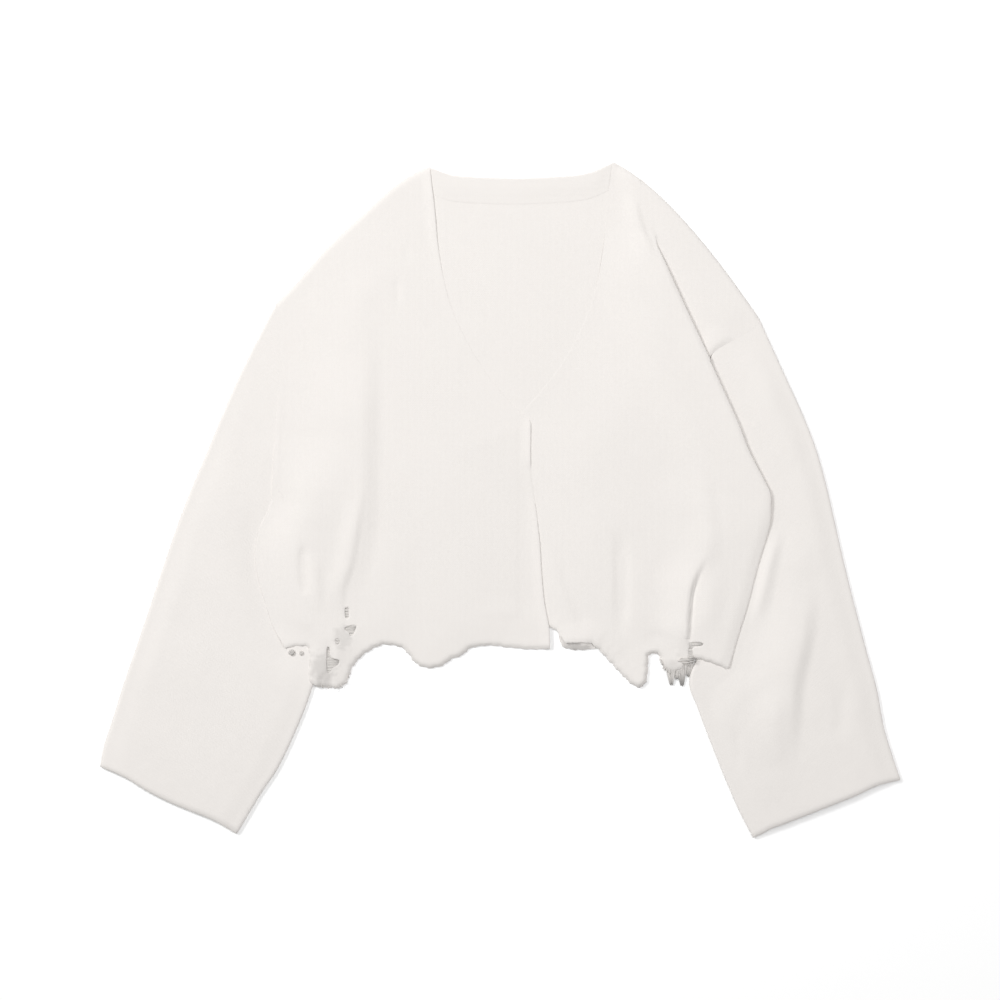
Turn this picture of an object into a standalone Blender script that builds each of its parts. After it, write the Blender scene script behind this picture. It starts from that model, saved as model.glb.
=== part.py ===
"""A cropped, oversized knit cardigan with a torn hem, laid flat on its back.

Every panel is a thin wall of cloth. A body panel is a grid stretched between its four edges, a sleeve is
a flattened tube through cross-sections, and each wall rests on the one below it: sleeves, then the back,
then the fronts. Plan sizes and heights are in millimetres. The wearer's right is on the -X side, the neck
is towards +Y, and the surface that the garment lies on is z = 0.
"""

import math

import bmesh
import bpy
import numpy as np

MM = 0.001

# Cloth and how the walls lie on each other
WALL = 2.0  # thickness of the knit
SEAM_GAP = 0.4  # between two walls that meet at a seam
LAYER_GAP = 0.6  # between two walls that lie on each other
FRONT_LEVEL = WALL + LAYER_GAP  # underside of a front where it lies on the back
SLEEVE_TUCK = 43.0  # how far a sleeve reaches in under the body
TUCK_RAMP = 52.0  # width over which the body comes down from the sleeve
SLEEVE_LIFT = 5.5  # how far a sleeve raises the body that lies over it
FRONT_LOFT = 2.0  # the fronts stand this far off the back, away from their seams
LAP_RAMP = 50.0  # width over which the right front climbs onto the left one
STEP_WIDTH = 4.0  # plan width of the step at the edge of the left front's pleat

# Where the body starts to climb onto the sleeves, and where it is fully raised
BACK_CLIMB_Y = (62.0, 2.0)
RIGHT_FRONT_CLIMB_Y = (76.0, 8.0)
PLEAT_CLIMB_Y = (292.0, 158.0)

# Plan outline, as (x, y)
NECK_RIGHT = (-77.0, 366.0)
NECK_LEFT = (125.0, 371.5)
BACK_NECK = [
    NECK_RIGHT, (-58, 358.5), (-33, 355.2), (22, 353.7), (77, 356.3), (99, 360), (112, 365.2), NECK_LEFT,
]
SHOULDER_RIGHT = [
    NECK_RIGHT, (-88, 362.3), (-115, 345.5), (-153, 311.5), (-190, 276.5), (-223, 239), (-245, 216),
]
PLEAT_TOP = (150.0, 355.0)
SHOULDER_LEFT_INNER = [NECK_LEFT, (138, 364), PLEAT_TOP]
SHOULDER_LEFT_OUTER = [(159, 348.5), (177, 332.2), (207, 301), (242, 258.5), (278, 209), (285, 198)]
RIGHT_SIDE = [(-257, -16), (-265, -34), (-269, -58), (-267, -80), (-261, -103), (-254, -125), (-249, -140)]
PLEAT_UPPER = [PLEAT_TOP, (158, 322), (165, 297), (176, 275), (201, 220)]
PLEAT_LOWER = [
    (262, 88), (275, 55), (293, 20), (299, 6), (299, -11), (297, -29), (284, -72), (272, -118), (265, -140),
]
RIGHT_NECK_EDGE = [
    NECK_RIGHT, (-74, 341), (-71, 313), (-67, 272), (-58, 228), (-45, 192), (-22, 150), (5, 114), (34, 86),
]
RIGHT_FRONT_EDGE = [(34, 86), (34, 36), (38, 2), (41, -22), (44, -50), (46, -82), (49, -113), (54, -140)]
LEFT_NECK_EDGE = [
    NECK_LEFT, (120, 341), (117, 313), (113, 272), (104, 228), (91, 192), (68, 150), (40, 114), (14, 86),
]
LEFT_FRONT_EDGE = [(14, 86), (14, 36), (13, 2), (13, -50), (13, -96), (15, -122)]

# Sleeve cross-sections from the armhole to the cuff: the outer and inner ends of the flattened tube, how
# far the section bends towards the body, and the height of the tube
SLEEVE_COLUMNS = ("outer_x", "outer_y", "inner_x", "inner_y", "bend", "height")
RIGHT_SLEEVE = [
    (-245, 216, -251, -12, 4, 4.6),
    (-265, 178, -257, -32, 2, 4.8),
    (-285, 138, -253, -60, 0, 5.0),
    (-305, 93, -244, -86, 0, 5.0),
    (-322, 52, -232, -110, 0, 5.0),
    (-338, 15, -220, -134, 0, 5.0),
    (-355, -29, -210, -162, 0, 5.0),
    (-374, -85, -204, -192, 0, 5.0),
    (-395, -148, -210, -218, 0, 5.2),
    (-412, -197, -226, -258, 0, 5.4),
    (-426, -242, -244, -295, 0, 5.6),
    (-435, -270, -262, -322, 0, 5.8),
    (-439.3, -293, -289, -367, 0, 6.0),
]
LEFT_SLEEVE = [
    (285, 198, 258, -22, 48, 4.6),
    (300, 165, 264, -40, 30, 4.8),
    (316, 130, 262, -66, 14, 5.0),
    (332, 95, 254, -92, 4, 5.0),
    (346.5, 58, 243, -117, 0, 5.0),
    (357.5, 20, 231, -141, 0, 5.0),
    (368, -25, 220, -167, 0, 5.0),
    (382, -85, 208, -200, 0, 5.0),
    (401, -159, 217, -228, 0, 5.2),
    (414, -207, 229, -260, 0, 5.4),
    (422, -250, 246, -303, 0, 5.6),
    (431, -280, 263, -342, 0, 5.8),
    (439.6, -306, 278, -371, 0, 6.0),
]
BEND_AT = 0.22  # where along a section its bend is
SLEEVE_STATIONS = 17
SLEEVE_TOP_CELLS = 13
SLEEVE_UNDER_CELLS = 5

# The torn hems from right to left: a row for each tongue, notch or turn, as (x, y)
RIGHT_FRONT_HEM = [
    (-236, -163), (-231, -172), (-216, -169), (-203, -172), (-200, -203), (-181, -207), (-169, -201),
    (-165, -191), (-161, -182), (-150, -170), (-136, -162), (-126, -159), (-109, -162), (-100, -170),
    (-92, -180), (-78, -185), (-63, -182), (-55, -176), (-42, -171), (-32, -163), (-12, -160), (8, -162),
    (30, -164), (55, -164),
]
LEFT_FRONT_HEM = [
    (20, -132), (40, -136), (60, -142), (68, -152), (74, -157), (97, -157), (108, -164), (122, -179),
    (141, -199), (152, -206), (159.5, -202), (162.5, -191), (164, -171), (174, -170), (177, -180),
    (190, -183), (206, -180), (211, -174), (232, -175), (251, -187),
]
BACK_HEM = [
    (-236, -163), (-205, -160), (-170, -150), (-140, -152), (-112, -156), (-90, -166), (-62, -164),
    (-30, -150), (-5, -139), (30, -136), (60, -138), (68, -160), (84, -165), (101, -164), (115, -158),
    (140, -163), (165, -158), (190, -160), (215, -170), (251, -187),
]
BACK_HEM_BASE_Y = -126.0  # the ragged strip of the back's hem starts here
HEM_ROWS = 3
CURVE_STEPS = 12  # points worked out between two given ones on a smooth curve
FINE_CELLS = 400  # points along a curve when shares of its length are looked up

# Soft folds, one row each: a curve through three points, its half width and its height (below 0: a trough)
FOLD_COLUMNS = ("start", "middle", "end", "half_width", "height")
RIGHT_FRONT_FOLDS = [
    ((-126, 222), (-140, 110), (-135, 20), 15, -2.0),
    ((-135, 50), (-142, -50), (-170, -125), 15, -2.0),
    ((-138, 250), (-163, 205), (-166, 100), 16, 2.6),
    ((-166, -10), (-180, -90), (-185, -200), 17, 2.4),
    ((-218, -20), (-219, -75), (-214, -130), 14, -1.8),
    ((-118, 0), (-112, -80), (-78, -185), 24, 2.0),
    ((-30, -60), (-22, -110), (-20, -160), 22, 1.2),
]
LEFT_FRONT_FOLDS = [
    ((68, -30), (78, -100), (98, -150), 14, -2.0),
    ((134, -20), (133, -90), (132, -150), 14, -2.0),
    ((106, -20), (110, -90), (120, -160), 15, 2.2),
    ((168, -10), (164, -100), (150, -206), 19, 3.0),
    ((240, 10), (226, -70), (208, -176), 14, -2.0),
    ((246, -60), (238, -110), (234, -170), 14, 2.4),
    ((196, -50), (192, -110), (190, -170), 14, 2.0),
]
LEFT_SLEEVE_FOLDS = [
    ((343, -70), (334, -160), (320, -285), 15, -1.4),
    ((368, -60), (362, -170), (352, -280), 18, 2.6),
    ((315, -30), (300, -110), (288, -190), 14, 3.0),
    ((262, -215), (268, -260), (276, -300), 16, 1.6),
]
RIGHT_SLEEVE_FOLDS = [
    ((-300, 60), (-292, -60), (-262, -180), 18, 2.0),
    ((-350, 10), (-370, -120), (-385, -230), 26, 1.4),
    ((-290, -240), (-300, -290), (-318, -330), 22, 1.2),
]

# Rips cut through the cloth: centre, width, height and lean in degrees
RIP_COLUMNS = ("x", "y", "width", "height", "lean")
RIGHT_FRONT_RIPS = [
    (-227.5, -165.5, 7.5, 6.5, 0),
    (-212.5, -163.5, 6.5, 4.6, 10),
    (-165.5, -144.5, 6.5, 13, -8),
    (-170, -123.5, 5, 11, 0),
    (-188, -172, 4.6, 16, 4),
    (-178, -187, 7, 13, -12),
    (-176.5, -156, 5, 7, 0),
]
LEFT_FRONT_RIPS = [
    (207, -152, 5, 6, 0),
    (219, -158, 9, 4.6, -6),
    (199, -168.5, 5, 10, 6),
    (186, -171, 4.6, 8, -10),
]
RIP_SIDES = 7
RIP_UNEVENNESS = 0.16
RIP_REACH = 30.0  # a cutter reaches this far above and below the cloth

# Torn yarn ends: the strip under the hem that they hang from, its height, their number, their length and
# the height of their tips
STRAND_COLUMNS = ("start", "end", "level", "count", "length", "tip_level")
RIGHT_HEM_STRANDS = ((-229, -170.5), (-207, -171.0), 7.0, 7, 12.0, 5.8)
LEFT_HEM_STRANDS = ((186, -180.4), (206, -179.0), 6.5, 8, 24.0, 1.6)
STRIP_WIDTH = 1.8
YARN_WIDTH = 1.3
STRAND_SEGMENTS = 3

# Neckband, seen on the inside of the back neck
BAND_DEPTH = 29.0
BAND_INSET = 1.2
BAND_WALL = 1.6
BAND_CELLS = 12
BAND_ROWS = 3

CLOTH_COLOUR = (0.91, 0.885, 0.862, 1.0)
BAND_COLOUR = (0.90, 0.875, 0.85, 1.0)
YARN_COLOUR = (0.88, 0.855, 0.83, 1.0)


def smooth_step(low, high, value):
    """0 below low and 1 above high, with a smooth rise between. With low above high it falls instead."""
    t = min(max((value - low) / (high - low), 0.0), 1.0)
    return t * t * (3 - 2 * t)


def smooth_curve(points, cells):
    """cells + 1 points evenly spaced along a smooth curve through the given ones."""
    p = np.array(points, float)
    p = np.vstack([2 * p[0] - p[1], p, 2 * p[-1] - p[-2]])
    dense = []
    for a, b, c, d in zip(p[:-3], p[1:-2], p[2:-1], p[3:]):
        for t in np.linspace(0, 1, CURVE_STEPS, endpoint=False):
            square = (2 * a - 5 * b + 4 * c - d) * t**2
            cube = (3 * b - a - 3 * c + d) * t**3
            dense.append(0.5 * (2 * b + (c - a) * t + square + cube))
    dense.append(p[-2])
    return spaced(dense, cells)


def spaced(points, cells):
    """cells + 1 points evenly spaced along straight lines through the given ones."""
    p = np.array(points, float)
    run = np.concatenate([[0], np.cumsum(np.linalg.norm(np.diff(p, axis=0), axis=1))])
    at = np.linspace(0, run[-1], cells + 1)
    return np.stack([np.interp(at, run, p[:, k]) for k in range(p.shape[1])], axis=1)


def joined(*curves):
    """Curves that share their end points, as one."""
    return np.vstack([curves[0]] + [c[1:] for c in curves[1:]])


def patch(top, right, bottom, left):
    """A grid of plan points stretched between four edges, as [row][column]."""
    top, right, bottom, left = (np.array(edge, float) for edge in (top, right, bottom, left))
    v = np.linspace(0, 1, len(left))[:, None, None]
    u = np.linspace(0, 1, len(top))[None, :, None]
    ruled = (1 - v) * top[None] + v * bottom[None] + (1 - u) * left[:, None] + u * right[:, None]
    corners = (1 - v) * ((1 - u) * top[0] + u * top[-1]) + v * ((1 - u) * bottom[0] + u * bottom[-1])
    return ruled - corners


def hem_columns(hem):
    """How far along the hem each of its turns is, from 0 to 1."""
    x = np.array(hem, float)[:, 0]
    return (x - x[0]) / (x[-1] - x[0])


def at_shares(points, shares):
    """Points at the given shares of the length of a curve."""
    fine = spaced(points, FINE_CELLS)
    run = np.linspace(0, 1, FINE_CELLS + 1)
    return np.stack([np.interp(shares, run, fine[:, k]) for k in (0, 1)], axis=1)


def with_hem(grid, hem):
    """The grid with the ragged strip of the hem added below its last row."""
    base, ragged = grid[-1], np.array(hem, float)
    rows = [base + (ragged - base) * k / HEM_ROWS for k in range(1, HEM_ROWS + 1)]
    return np.concatenate([grid, np.array(rows)])


def row_of(columns, row):
    return dict(zip(columns, row))


def fold_height(folds, x, y):
    """The height that the folds add at a point. Each fades out at both ends."""
    total = 0.0
    for row in folds:
        fold = row_of(FOLD_COLUMNS, row)
        path = smooth_curve([fold["start"], fold["middle"], fold["end"]], 12)
        away = np.hypot(path[:, 0] - x, path[:, 1] - y)
        nearest = int(away.argmin())
        if away[nearest] >= fold["half_width"]:
            continue
        across = 0.5 + 0.5 * math.cos(math.pi * away[nearest] / fold["half_width"])
        along = math.sin(math.pi * min(max((nearest + 1) / 10, 0.0), 0.5))
        total += fold["height"] * across * along
    return total


def edge_x(side, y):
    """Where the side edge of the body is at this height, for side -1 (right) or +1 (left)."""
    if side < 0:
        outline = [(-236, -163)] + RIGHT_SIDE[::-1] + [(-250, 10), (-245, 216)]
    else:
        outline = [(251, -187)] + PLEAT_LOWER[::-1] + [(232, 157)] + PLEAT_UPPER[::-1]
    xs, ys = zip(*outline)
    return float(np.interp(y, ys, xs))


def lift(side, climb, x, y):
    """How far the sleeve tucked under that side raises the body at a point."""
    inward = side * (edge_x(side, y) - x)
    across = 1 - smooth_step(SLEEVE_TUCK, SLEEVE_TUCK + TUCK_RAMP, inward)
    return SLEEVE_LIFT * across * smooth_step(climb[0], climb[1], y)


def wall(name, levels, thickness, colour, kept=None):
    """A closed wall over a grid of (x, y, underside) points. kept says which cells exist; all, if None."""
    rows, columns = levels.shape[:2]
    if kept is None:
        kept = np.ones((rows - 1, columns - 1), bool)
    mesh = bmesh.new()
    corners = {}

    def corner(i, j, upper):
        if (i, j, upper) not in corners:
            x, y, z = levels[i, j]
            corners[i, j, upper] = mesh.verts.new((x * MM, y * MM, (z + thickness * upper) * MM))
        return corners[i, j, upper]

    def has(i, j):
        return 0 <= i < rows - 1 and 0 <= j < columns - 1 and kept[i, j]

    for i in range(rows - 1):
        for j in range(columns - 1):
            if not kept[i, j]:
                continue
            ring = [(i, j), (i + 1, j), (i + 1, j + 1), (i, j + 1)]
            mesh.faces.new([corner(a, b, 1) for a, b in ring])
            mesh.faces.new([corner(a, b, 0) for a, b in ring[::-1]])
            beyond = [(i, j - 1), (i + 1, j), (i, j + 1), (i - 1, j)]
            for k, neighbour in enumerate(beyond):
                if not has(*neighbour):
                    a, b = ring[k], ring[(k + 1) % 4]
                    mesh.faces.new([corner(*b, 1), corner(*a, 1), corner(*a, 0), corner(*b, 0)])
    return finished(name, mesh, colour)


def finished(name, mesh, colour, roughness=0.9):
    """The mesh as a named object with its faces pointing out and its own material."""
    bmesh.ops.recalc_face_normals(mesh, faces=mesh.faces)
    data = bpy.data.meshes.new(name)
    mesh.to_mesh(data)
    mesh.free()
    made = bpy.data.objects.new(name, data)
    bpy.context.scene.collection.objects.link(made)
    material = bpy.data.materials.new(name + "_knit")
    material.use_nodes = True
    shader = material.node_tree.nodes["Principled BSDF"]
    shader.inputs["Base Color"].default_value = colour
    shader.inputs["Roughness"].default_value = roughness
    shader.inputs["Metallic"].default_value = 0.0
    data.materials.append(material)
    return made


def levelled(grid, level):
    """The grid's plan points with the underside height of the cloth added to each."""
    heights = [
        [level(i, j, float(grid[i, j, 0]), float(grid[i, j, 1])) for j in range(grid.shape[1])]
        for i in range(grid.shape[0])
    ]
    return np.dstack([grid, np.array(heights)])


def cap_corner(sleeve):
    """Where the armhole seam turns: the bend of the sleeve's first section."""
    return section_point(row_of(SLEEVE_COLUMNS, sleeve[0]), BEND_AT)


def section_point(section, share):
    """A plan point on a sleeve section, at a share of the way from its outer to its inner end."""
    outer = np.array([section["outer_x"], section["outer_y"]])
    inner = np.array([section["inner_x"], section["inner_y"]])
    along = (inner - outer) / np.linalg.norm(inner - outer)
    to_body = np.array([-along[1], along[0]])
    if outer[0] > 0:
        to_body = -to_body
    bent = share / BEND_AT if share < BEND_AT else (1 - share) / (1 - BEND_AT)
    return outer + (inner - outer) * share + to_body * section["bend"] * bent


def armhole(sleeve, side, last_y):
    """The body's edge along the armhole, a seam's gap inside the sleeve, down to last_y."""
    section = row_of(SLEEVE_COLUMNS, sleeve[0])
    shift = np.array([-side * SEAM_GAP, SEAM_GAP])
    upper = np.array([section["outer_x"], section["outer_y"]]) + shift
    corner = cap_corner(sleeve) + shift
    lower = section_point(section, 1.0) + shift
    share = (corner[1] - last_y) / (corner[1] - lower[1])
    return spaced([upper, corner], 4), spaced([corner, corner + (lower - corner) * share], 8)


def right_side_edge():
    """The right side of the body from the shoulder to the hem base, shared by the back and the front."""
    upper, lower = armhole(RIGHT_SLEEVE, -1, -4.0)
    return joined(upper, lower, smooth_curve([lower[-1]] + RIGHT_SIDE, 8))


def back():
    left_upper, left_lower = armhole(LEFT_SLEEVE, 1, -4.0)
    left_side = [left_lower[-1], (276, -6), (296, -14), (297, -29), (284, -72), (272, -118), (268, -130)]
    right = joined(left_upper, left_lower, smooth_curve(left_side, 8))
    left = right_side_edge()
    right_shoulder = smooth_curve(SHOULDER_RIGHT, 8)[::-1]
    left_shoulder = smooth_curve(SHOULDER_LEFT_INNER[:2] + [PLEAT_TOP] + SHOULDER_LEFT_OUTER, 8)
    right_shoulder[0] = left[0]
    left_shoulder[-1] = right[0]
    top = joined(right_shoulder, smooth_curve(BACK_NECK, 8), left_shoulder)
    hem = spaced(BACK_HEM, len(top) - 1)
    shares = hem_columns(hem)
    base_heights = [left[-1][1], BACK_HEM_BASE_Y, BACK_HEM_BASE_Y, right[-1][1]]
    bottom_x = np.interp(shares, [0, 1], [left[-1][0], right[-1][0]])
    bottom_y = np.interp(shares, [0, 0.2, 0.8, 1], base_heights)
    grid = with_hem(patch(top, right, np.stack([bottom_x, bottom_y], axis=1), left), hem)

    def level(i, j, x, y):
        return max(lift(-1, BACK_CLIMB_Y, x, y), lift(1, BACK_CLIMB_Y, x, y))

    return wall("back", levelled(grid, level), WALL, CLOTH_COLOUR)


def back_neckband():
    """A band that follows the back neck between the two fronts."""
    upper = smooth_curve(BACK_NECK, BAND_CELLS)
    rows = []
    for drop in np.linspace(BAND_INSET, BAND_DEPTH, BAND_ROWS + 1):
        level_y = NECK_RIGHT[1] - drop
        first, last = (
            float(np.interp(-level_y, [-y for _, y in edge], [x for x, _ in edge]))
            for edge in (RIGHT_NECK_EDGE, LEFT_NECK_EDGE)
        )
        x = np.linspace(first + BAND_INSET, last - BAND_INSET, BAND_CELLS + 1)
        y = np.interp(x, upper[:, 0], upper[:, 1]) - drop
        rows.append(np.stack([x, y], axis=1))
    grid = np.array(rows)
    return wall("back_neckband", levelled(grid, lambda i, j, x, y: FRONT_LEVEL), BAND_WALL, BAND_COLOUR)


def hem_base(hem, start, end):
    """The straight line that the ragged strip of a front's hem starts from."""
    shares = hem_columns(hem)
    start, end = np.array(start), np.array(end)
    return start + (end - start) * shares[:, None]


def right_front():
    left = right_side_edge()
    cells = len(left) - 1
    neck_cells = int(cells * 0.55)
    centre_cells = cells - neck_cells
    right = joined(smooth_curve(RIGHT_NECK_EDGE, neck_cells), smooth_curve(RIGHT_FRONT_EDGE, centre_cells))
    shares = hem_columns(RIGHT_FRONT_HEM)
    top = at_shares(smooth_curve(SHOULDER_RIGHT, 40)[::-1], shares)
    top[0] = left[0]
    bottom = hem_base(RIGHT_FRONT_HEM, left[-1], right[-1])
    grid = with_hem(patch(top, right, bottom, left), RIGHT_FRONT_HEM)

    def level(i, j, x, y):
        z = FRONT_LEVEL + lift(-1, RIGHT_FRONT_CLIMB_Y, x, y)
        loft = FRONT_LOFT * smooth_step(0, 3, j) * smooth_step(0, 3, i)
        lap = (WALL + LAYER_GAP) * smooth_step(-LAP_RAMP, 0, x) * smooth_step(150, 110, y)
        return max(z, z + loft + fold_height(RIGHT_FRONT_FOLDS, x, y)) + lap

    made = wall("right_front", levelled(grid, level), WALL, CLOTH_COLOUR)
    cut_rips(made, RIGHT_FRONT_RIPS)
    return made


def left_front():
    """The left front: its main part ends at the pleat's edge, with the shoulder part in a step below it."""
    upper, _ = armhole(LEFT_SLEEVE, 1, -4.0)
    corner = upper[-1]
    pleat_upper = smooth_curve(PLEAT_UPPER + [corner], 10)
    pleat_lower = smooth_curve([corner] + PLEAT_LOWER, 15)
    pleat = joined(pleat_upper, pleat_lower)
    neck_cells = 13
    centre_cells = len(pleat) - 1 - neck_cells
    centre = joined(smooth_curve(LEFT_NECK_EDGE, neck_cells), smooth_curve(LEFT_FRONT_EDGE, centre_cells))
    shares = hem_columns(LEFT_FRONT_HEM)
    top = at_shares(smooth_curve(SHOULDER_LEFT_INNER, 10), shares)
    bottom = hem_base(LEFT_FRONT_HEM, centre[-1], pleat[-1])
    main = with_hem(patch(top, pleat, bottom, centre), LEFT_FRONT_HEM)
    main_columns = main.shape[1]

    step = pleat_upper + np.array([STEP_WIDTH, 1.0])
    step[-1] = corner + (upper[0] - corner) * STEP_WIDTH / np.linalg.norm(upper[0] - corner)
    shoulder = smooth_curve(SHOULDER_LEFT_OUTER, 10)
    shoulder[-1] = upper[0]
    flap_cells = 5
    flap_top = spaced([step[0], shoulder[0]], flap_cells)
    flap_bottom = spaced([step[-1], upper[0]], flap_cells)
    flap = patch(flap_top, shoulder, flap_bottom, step)
    grid = np.zeros((len(main), main_columns + flap.shape[1], 2))
    grid[:, :main_columns] = main
    grid[: len(flap), main_columns:] = flap
    kept = np.ones((len(grid) - 1, grid.shape[1] - 1), bool)
    kept[len(flap) - 1 :, main_columns - 1 :] = False

    def level(i, j, x, y):
        if j >= main_columns:
            return FRONT_LEVEL
        z = FRONT_LEVEL + lift(1, PLEAT_CLIMB_Y, x, y)
        loft = FRONT_LOFT * smooth_step(0, 3, main_columns - 1 - j) * smooth_step(0, 3, i)
        return max(z, z + loft + fold_height(LEFT_FRONT_FOLDS, x, y))

    made = wall("left_front", levelled(grid, level), WALL, CLOTH_COLOUR, kept)
    cut_rips(made, LEFT_FRONT_RIPS)
    return made


def cut_rips(panel, rips):
    """Cuts each rip through the panel as an uneven hole."""
    mesh = bmesh.new()
    for number, row in enumerate(rips):
        rip = row_of(RIP_COLUMNS, row)
        lean = math.radians(rip["lean"])
        rings = []
        for z in (-RIP_REACH, RIP_REACH):
            ring = []
            for k in range(RIP_SIDES):
                turn = math.tau * k / RIP_SIDES
                uneven = 1 + RIP_UNEVENNESS * math.sin(2.3 * turn + number)
                dx = 0.5 * rip["width"] * uneven * math.cos(turn)
                dy = 0.5 * rip["height"] * uneven * math.sin(turn)
                x = rip["x"] + dx * math.cos(lean) - dy * math.sin(lean)
                y = rip["y"] + dx * math.sin(lean) + dy * math.cos(lean)
                ring.append(mesh.verts.new((x * MM, y * MM, z * MM)))
            rings.append(ring)
        mesh.faces.new(rings[0][::-1])
        mesh.faces.new(rings[1])
        for k in range(RIP_SIDES):
            n = (k + 1) % RIP_SIDES
            mesh.faces.new([rings[0][k], rings[0][n], rings[1][n], rings[1][k]])
    cutter = finished(panel.name + "_rip_cutter", mesh, CLOTH_COLOUR)
    cutter.hide_render = True
    cutter.display_type = "WIRE"
    cut = panel.modifiers.new("rips", "BOOLEAN")
    cut.operation = "DIFFERENCE"
    cut.solver = "EXACT"
    cut.object = cutter


def sleeve_ring(section, inset):
    """One ring of a sleeve, round its flattened section, with the wall's thickness taken off by inset."""
    outer, inner = section_point(section, 0.0), section_point(section, 1.0)
    length = float(np.linalg.norm(inner - outer))
    height = section["height"] - 2 * inset
    corner = [(0.0, 0.5), (0.15, 0.86), (0.5, 1.0)]
    ends = [(inset + a * height, z) for a, z in corner]
    top_shares = np.unique(np.append(np.linspace(0, 1, SLEEVE_TOP_CELLS + 1), BEND_AT))[1:-1]
    under_shares = np.append(np.linspace(0, 1, SLEEVE_UNDER_CELLS + 1)[1:-1], BEND_AT)
    top = [(d / length, z) for d, z in ends]
    top += [(s, 1.0) for s in top_shares]
    top += [(1 - d / length, z) for d, z in ends[::-1]]
    under = [(1 - d / length, 1 - z) for d, z in ends[1:]]
    under += [(s, 0.0) for s in sorted(under_shares, reverse=True)]
    under += [(d / length, 1 - z) for d, z in ends[:0:-1]]
    ring = []
    for share, z in top + under:
        x, y = section_point(section, share)
        ring.append((x, y, inset + z * height, z))
    return ring


def sleeve(name, sections, folds):
    """A flattened tube through the sections, open at the armhole and the cuff."""
    table = smooth_curve(sections, SLEEVE_STATIONS)
    mesh = bmesh.new()
    skins = []
    for inset in (0.0, WALL):
        rings = []
        for row in table:
            ring = []
            for x, y, z, share in sleeve_ring(row_of(SLEEVE_COLUMNS, row), inset):
                if share == 1.0:
                    z += fold_height(folds, x, y)
                ring.append(mesh.verts.new((x * MM, y * MM, z * MM)))
            rings.append(ring)
        skins.append(rings)
    count = len(skins[0][0])
    for rings in skins:
        for a, b in zip(rings[:-1], rings[1:]):
            for k in range(count):
                n = (k + 1) % count
                mesh.faces.new([a[k], a[n], b[n], b[k]])
    for end in (0, -1):
        a, b = skins[0][end], skins[1][end]
        for k in range(count):
            n = (k + 1) % count
            mesh.faces.new([a[k], a[n], b[n], b[k]])
    return finished(name, mesh, CLOTH_COLOUR)


def hem_strands(name, row):
    """Torn yarn ends in a row, their roots in one narrow strip that lies just under the hem."""
    strands = row_of(STRAND_COLUMNS, row)
    start, end = np.array(strands["start"], float), np.array(strands["end"], float)
    along = (end - start) / np.linalg.norm(end - start)
    mesh = bmesh.new()
    count, level = strands["count"], strands["level"]
    half = YARN_WIDTH / 2
    centres = np.linspace(half, float(np.linalg.norm(end - start)) - half, count)
    stops = sorted({round(float(c + s), 4) for c in centres for s in (-half, half)})
    rail = {}
    for stop in stops:
        for across in (0, 1):
            for up in (0, 1):
                x, y = start + along * stop + np.array([0, STRIP_WIDTH * (across - 1)])
                rail[stop, across, up] = mesh.verts.new((x * MM, y * MM, (level + YARN_WIDTH * up) * MM))
    rooted = {round(float(c - half), 4) for c in centres}
    for a, b in zip(stops[:-1], stops[1:]):
        mesh.faces.new([rail[a, 0, 1], rail[b, 0, 1], rail[b, 1, 1], rail[a, 1, 1]])
        mesh.faces.new([rail[a, 0, 0], rail[a, 1, 0], rail[b, 1, 0], rail[b, 0, 0]])
        mesh.faces.new([rail[a, 1, 0], rail[a, 1, 1], rail[b, 1, 1], rail[b, 1, 0]])
        if a not in rooted:
            mesh.faces.new([rail[a, 0, 0], rail[b, 0, 0], rail[b, 0, 1], rail[a, 0, 1]])
    for stop in (stops[0], stops[-1]):
        mesh.faces.new([rail[stop, 0, 0], rail[stop, 0, 1], rail[stop, 1, 1], rail[stop, 1, 0]])
    for k, centre in enumerate(centres):
        a, b = round(float(centre - half), 4), round(float(centre + half), 4)
        ring = [rail[a, 0, 0], rail[b, 0, 0], rail[b, 0, 1], rail[a, 0, 1]]
        length = strands["length"] * (0.72 + 0.28 * math.sin(2.1 * k + 0.6))
        sway = 1.6 * math.sin(1.7 * k)
        for s in range(1, STRAND_SEGMENTS + 1):
            t = s / STRAND_SEGMENTS
            width = half * (1 - 0.45 * t)
            middle = start + along * (centre + sway * t * t) + np.array([0, -STRIP_WIDTH - length * t])
            z = level + (strands["tip_level"] - level) * t
            here = []
            for side, up in ((-1, 0), (1, 0), (1, 1), (-1, 1)):
                x, y = middle + along * side * width
                here.append(mesh.verts.new((x * MM, y * MM, (z + 2 * width * up) * MM)))
            for q in range(4):
                n = (q + 1) % 4
                mesh.faces.new([ring[q], ring[n], here[n], here[q]])
            ring = here
        mesh.faces.new(ring)
    return finished(name, mesh, YARN_COLOUR)


def centred(objects):
    """Moves the whole garment so that the middle of its outline is over the origin."""
    points = [v.co for made in objects for v in made.data.vertices]
    middle_x = (min(p.x for p in points) + max(p.x for p in points)) / 2
    middle_y = (min(p.y for p in points) + max(p.y for p in points)) / 2
    for made in bpy.context.scene.objects:
        for vertex in made.data.vertices:
            vertex.co.x -= middle_x
            vertex.co.y -= middle_y


def main():
    for existing in list(bpy.data.objects):
        bpy.data.objects.remove(existing, do_unlink=True)
    pieces = [
        back(),
        back_neckband(),
        right_front(),
        left_front(),
        sleeve("right_sleeve", RIGHT_SLEEVE, RIGHT_SLEEVE_FOLDS),
        sleeve("left_sleeve", LEFT_SLEEVE, LEFT_SLEEVE_FOLDS),
        hem_strands("right_hem_strands", RIGHT_HEM_STRANDS),
        hem_strands("left_hem_strands", LEFT_HEM_STRANDS),
    ]
    centred(pieces)


main()
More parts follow.
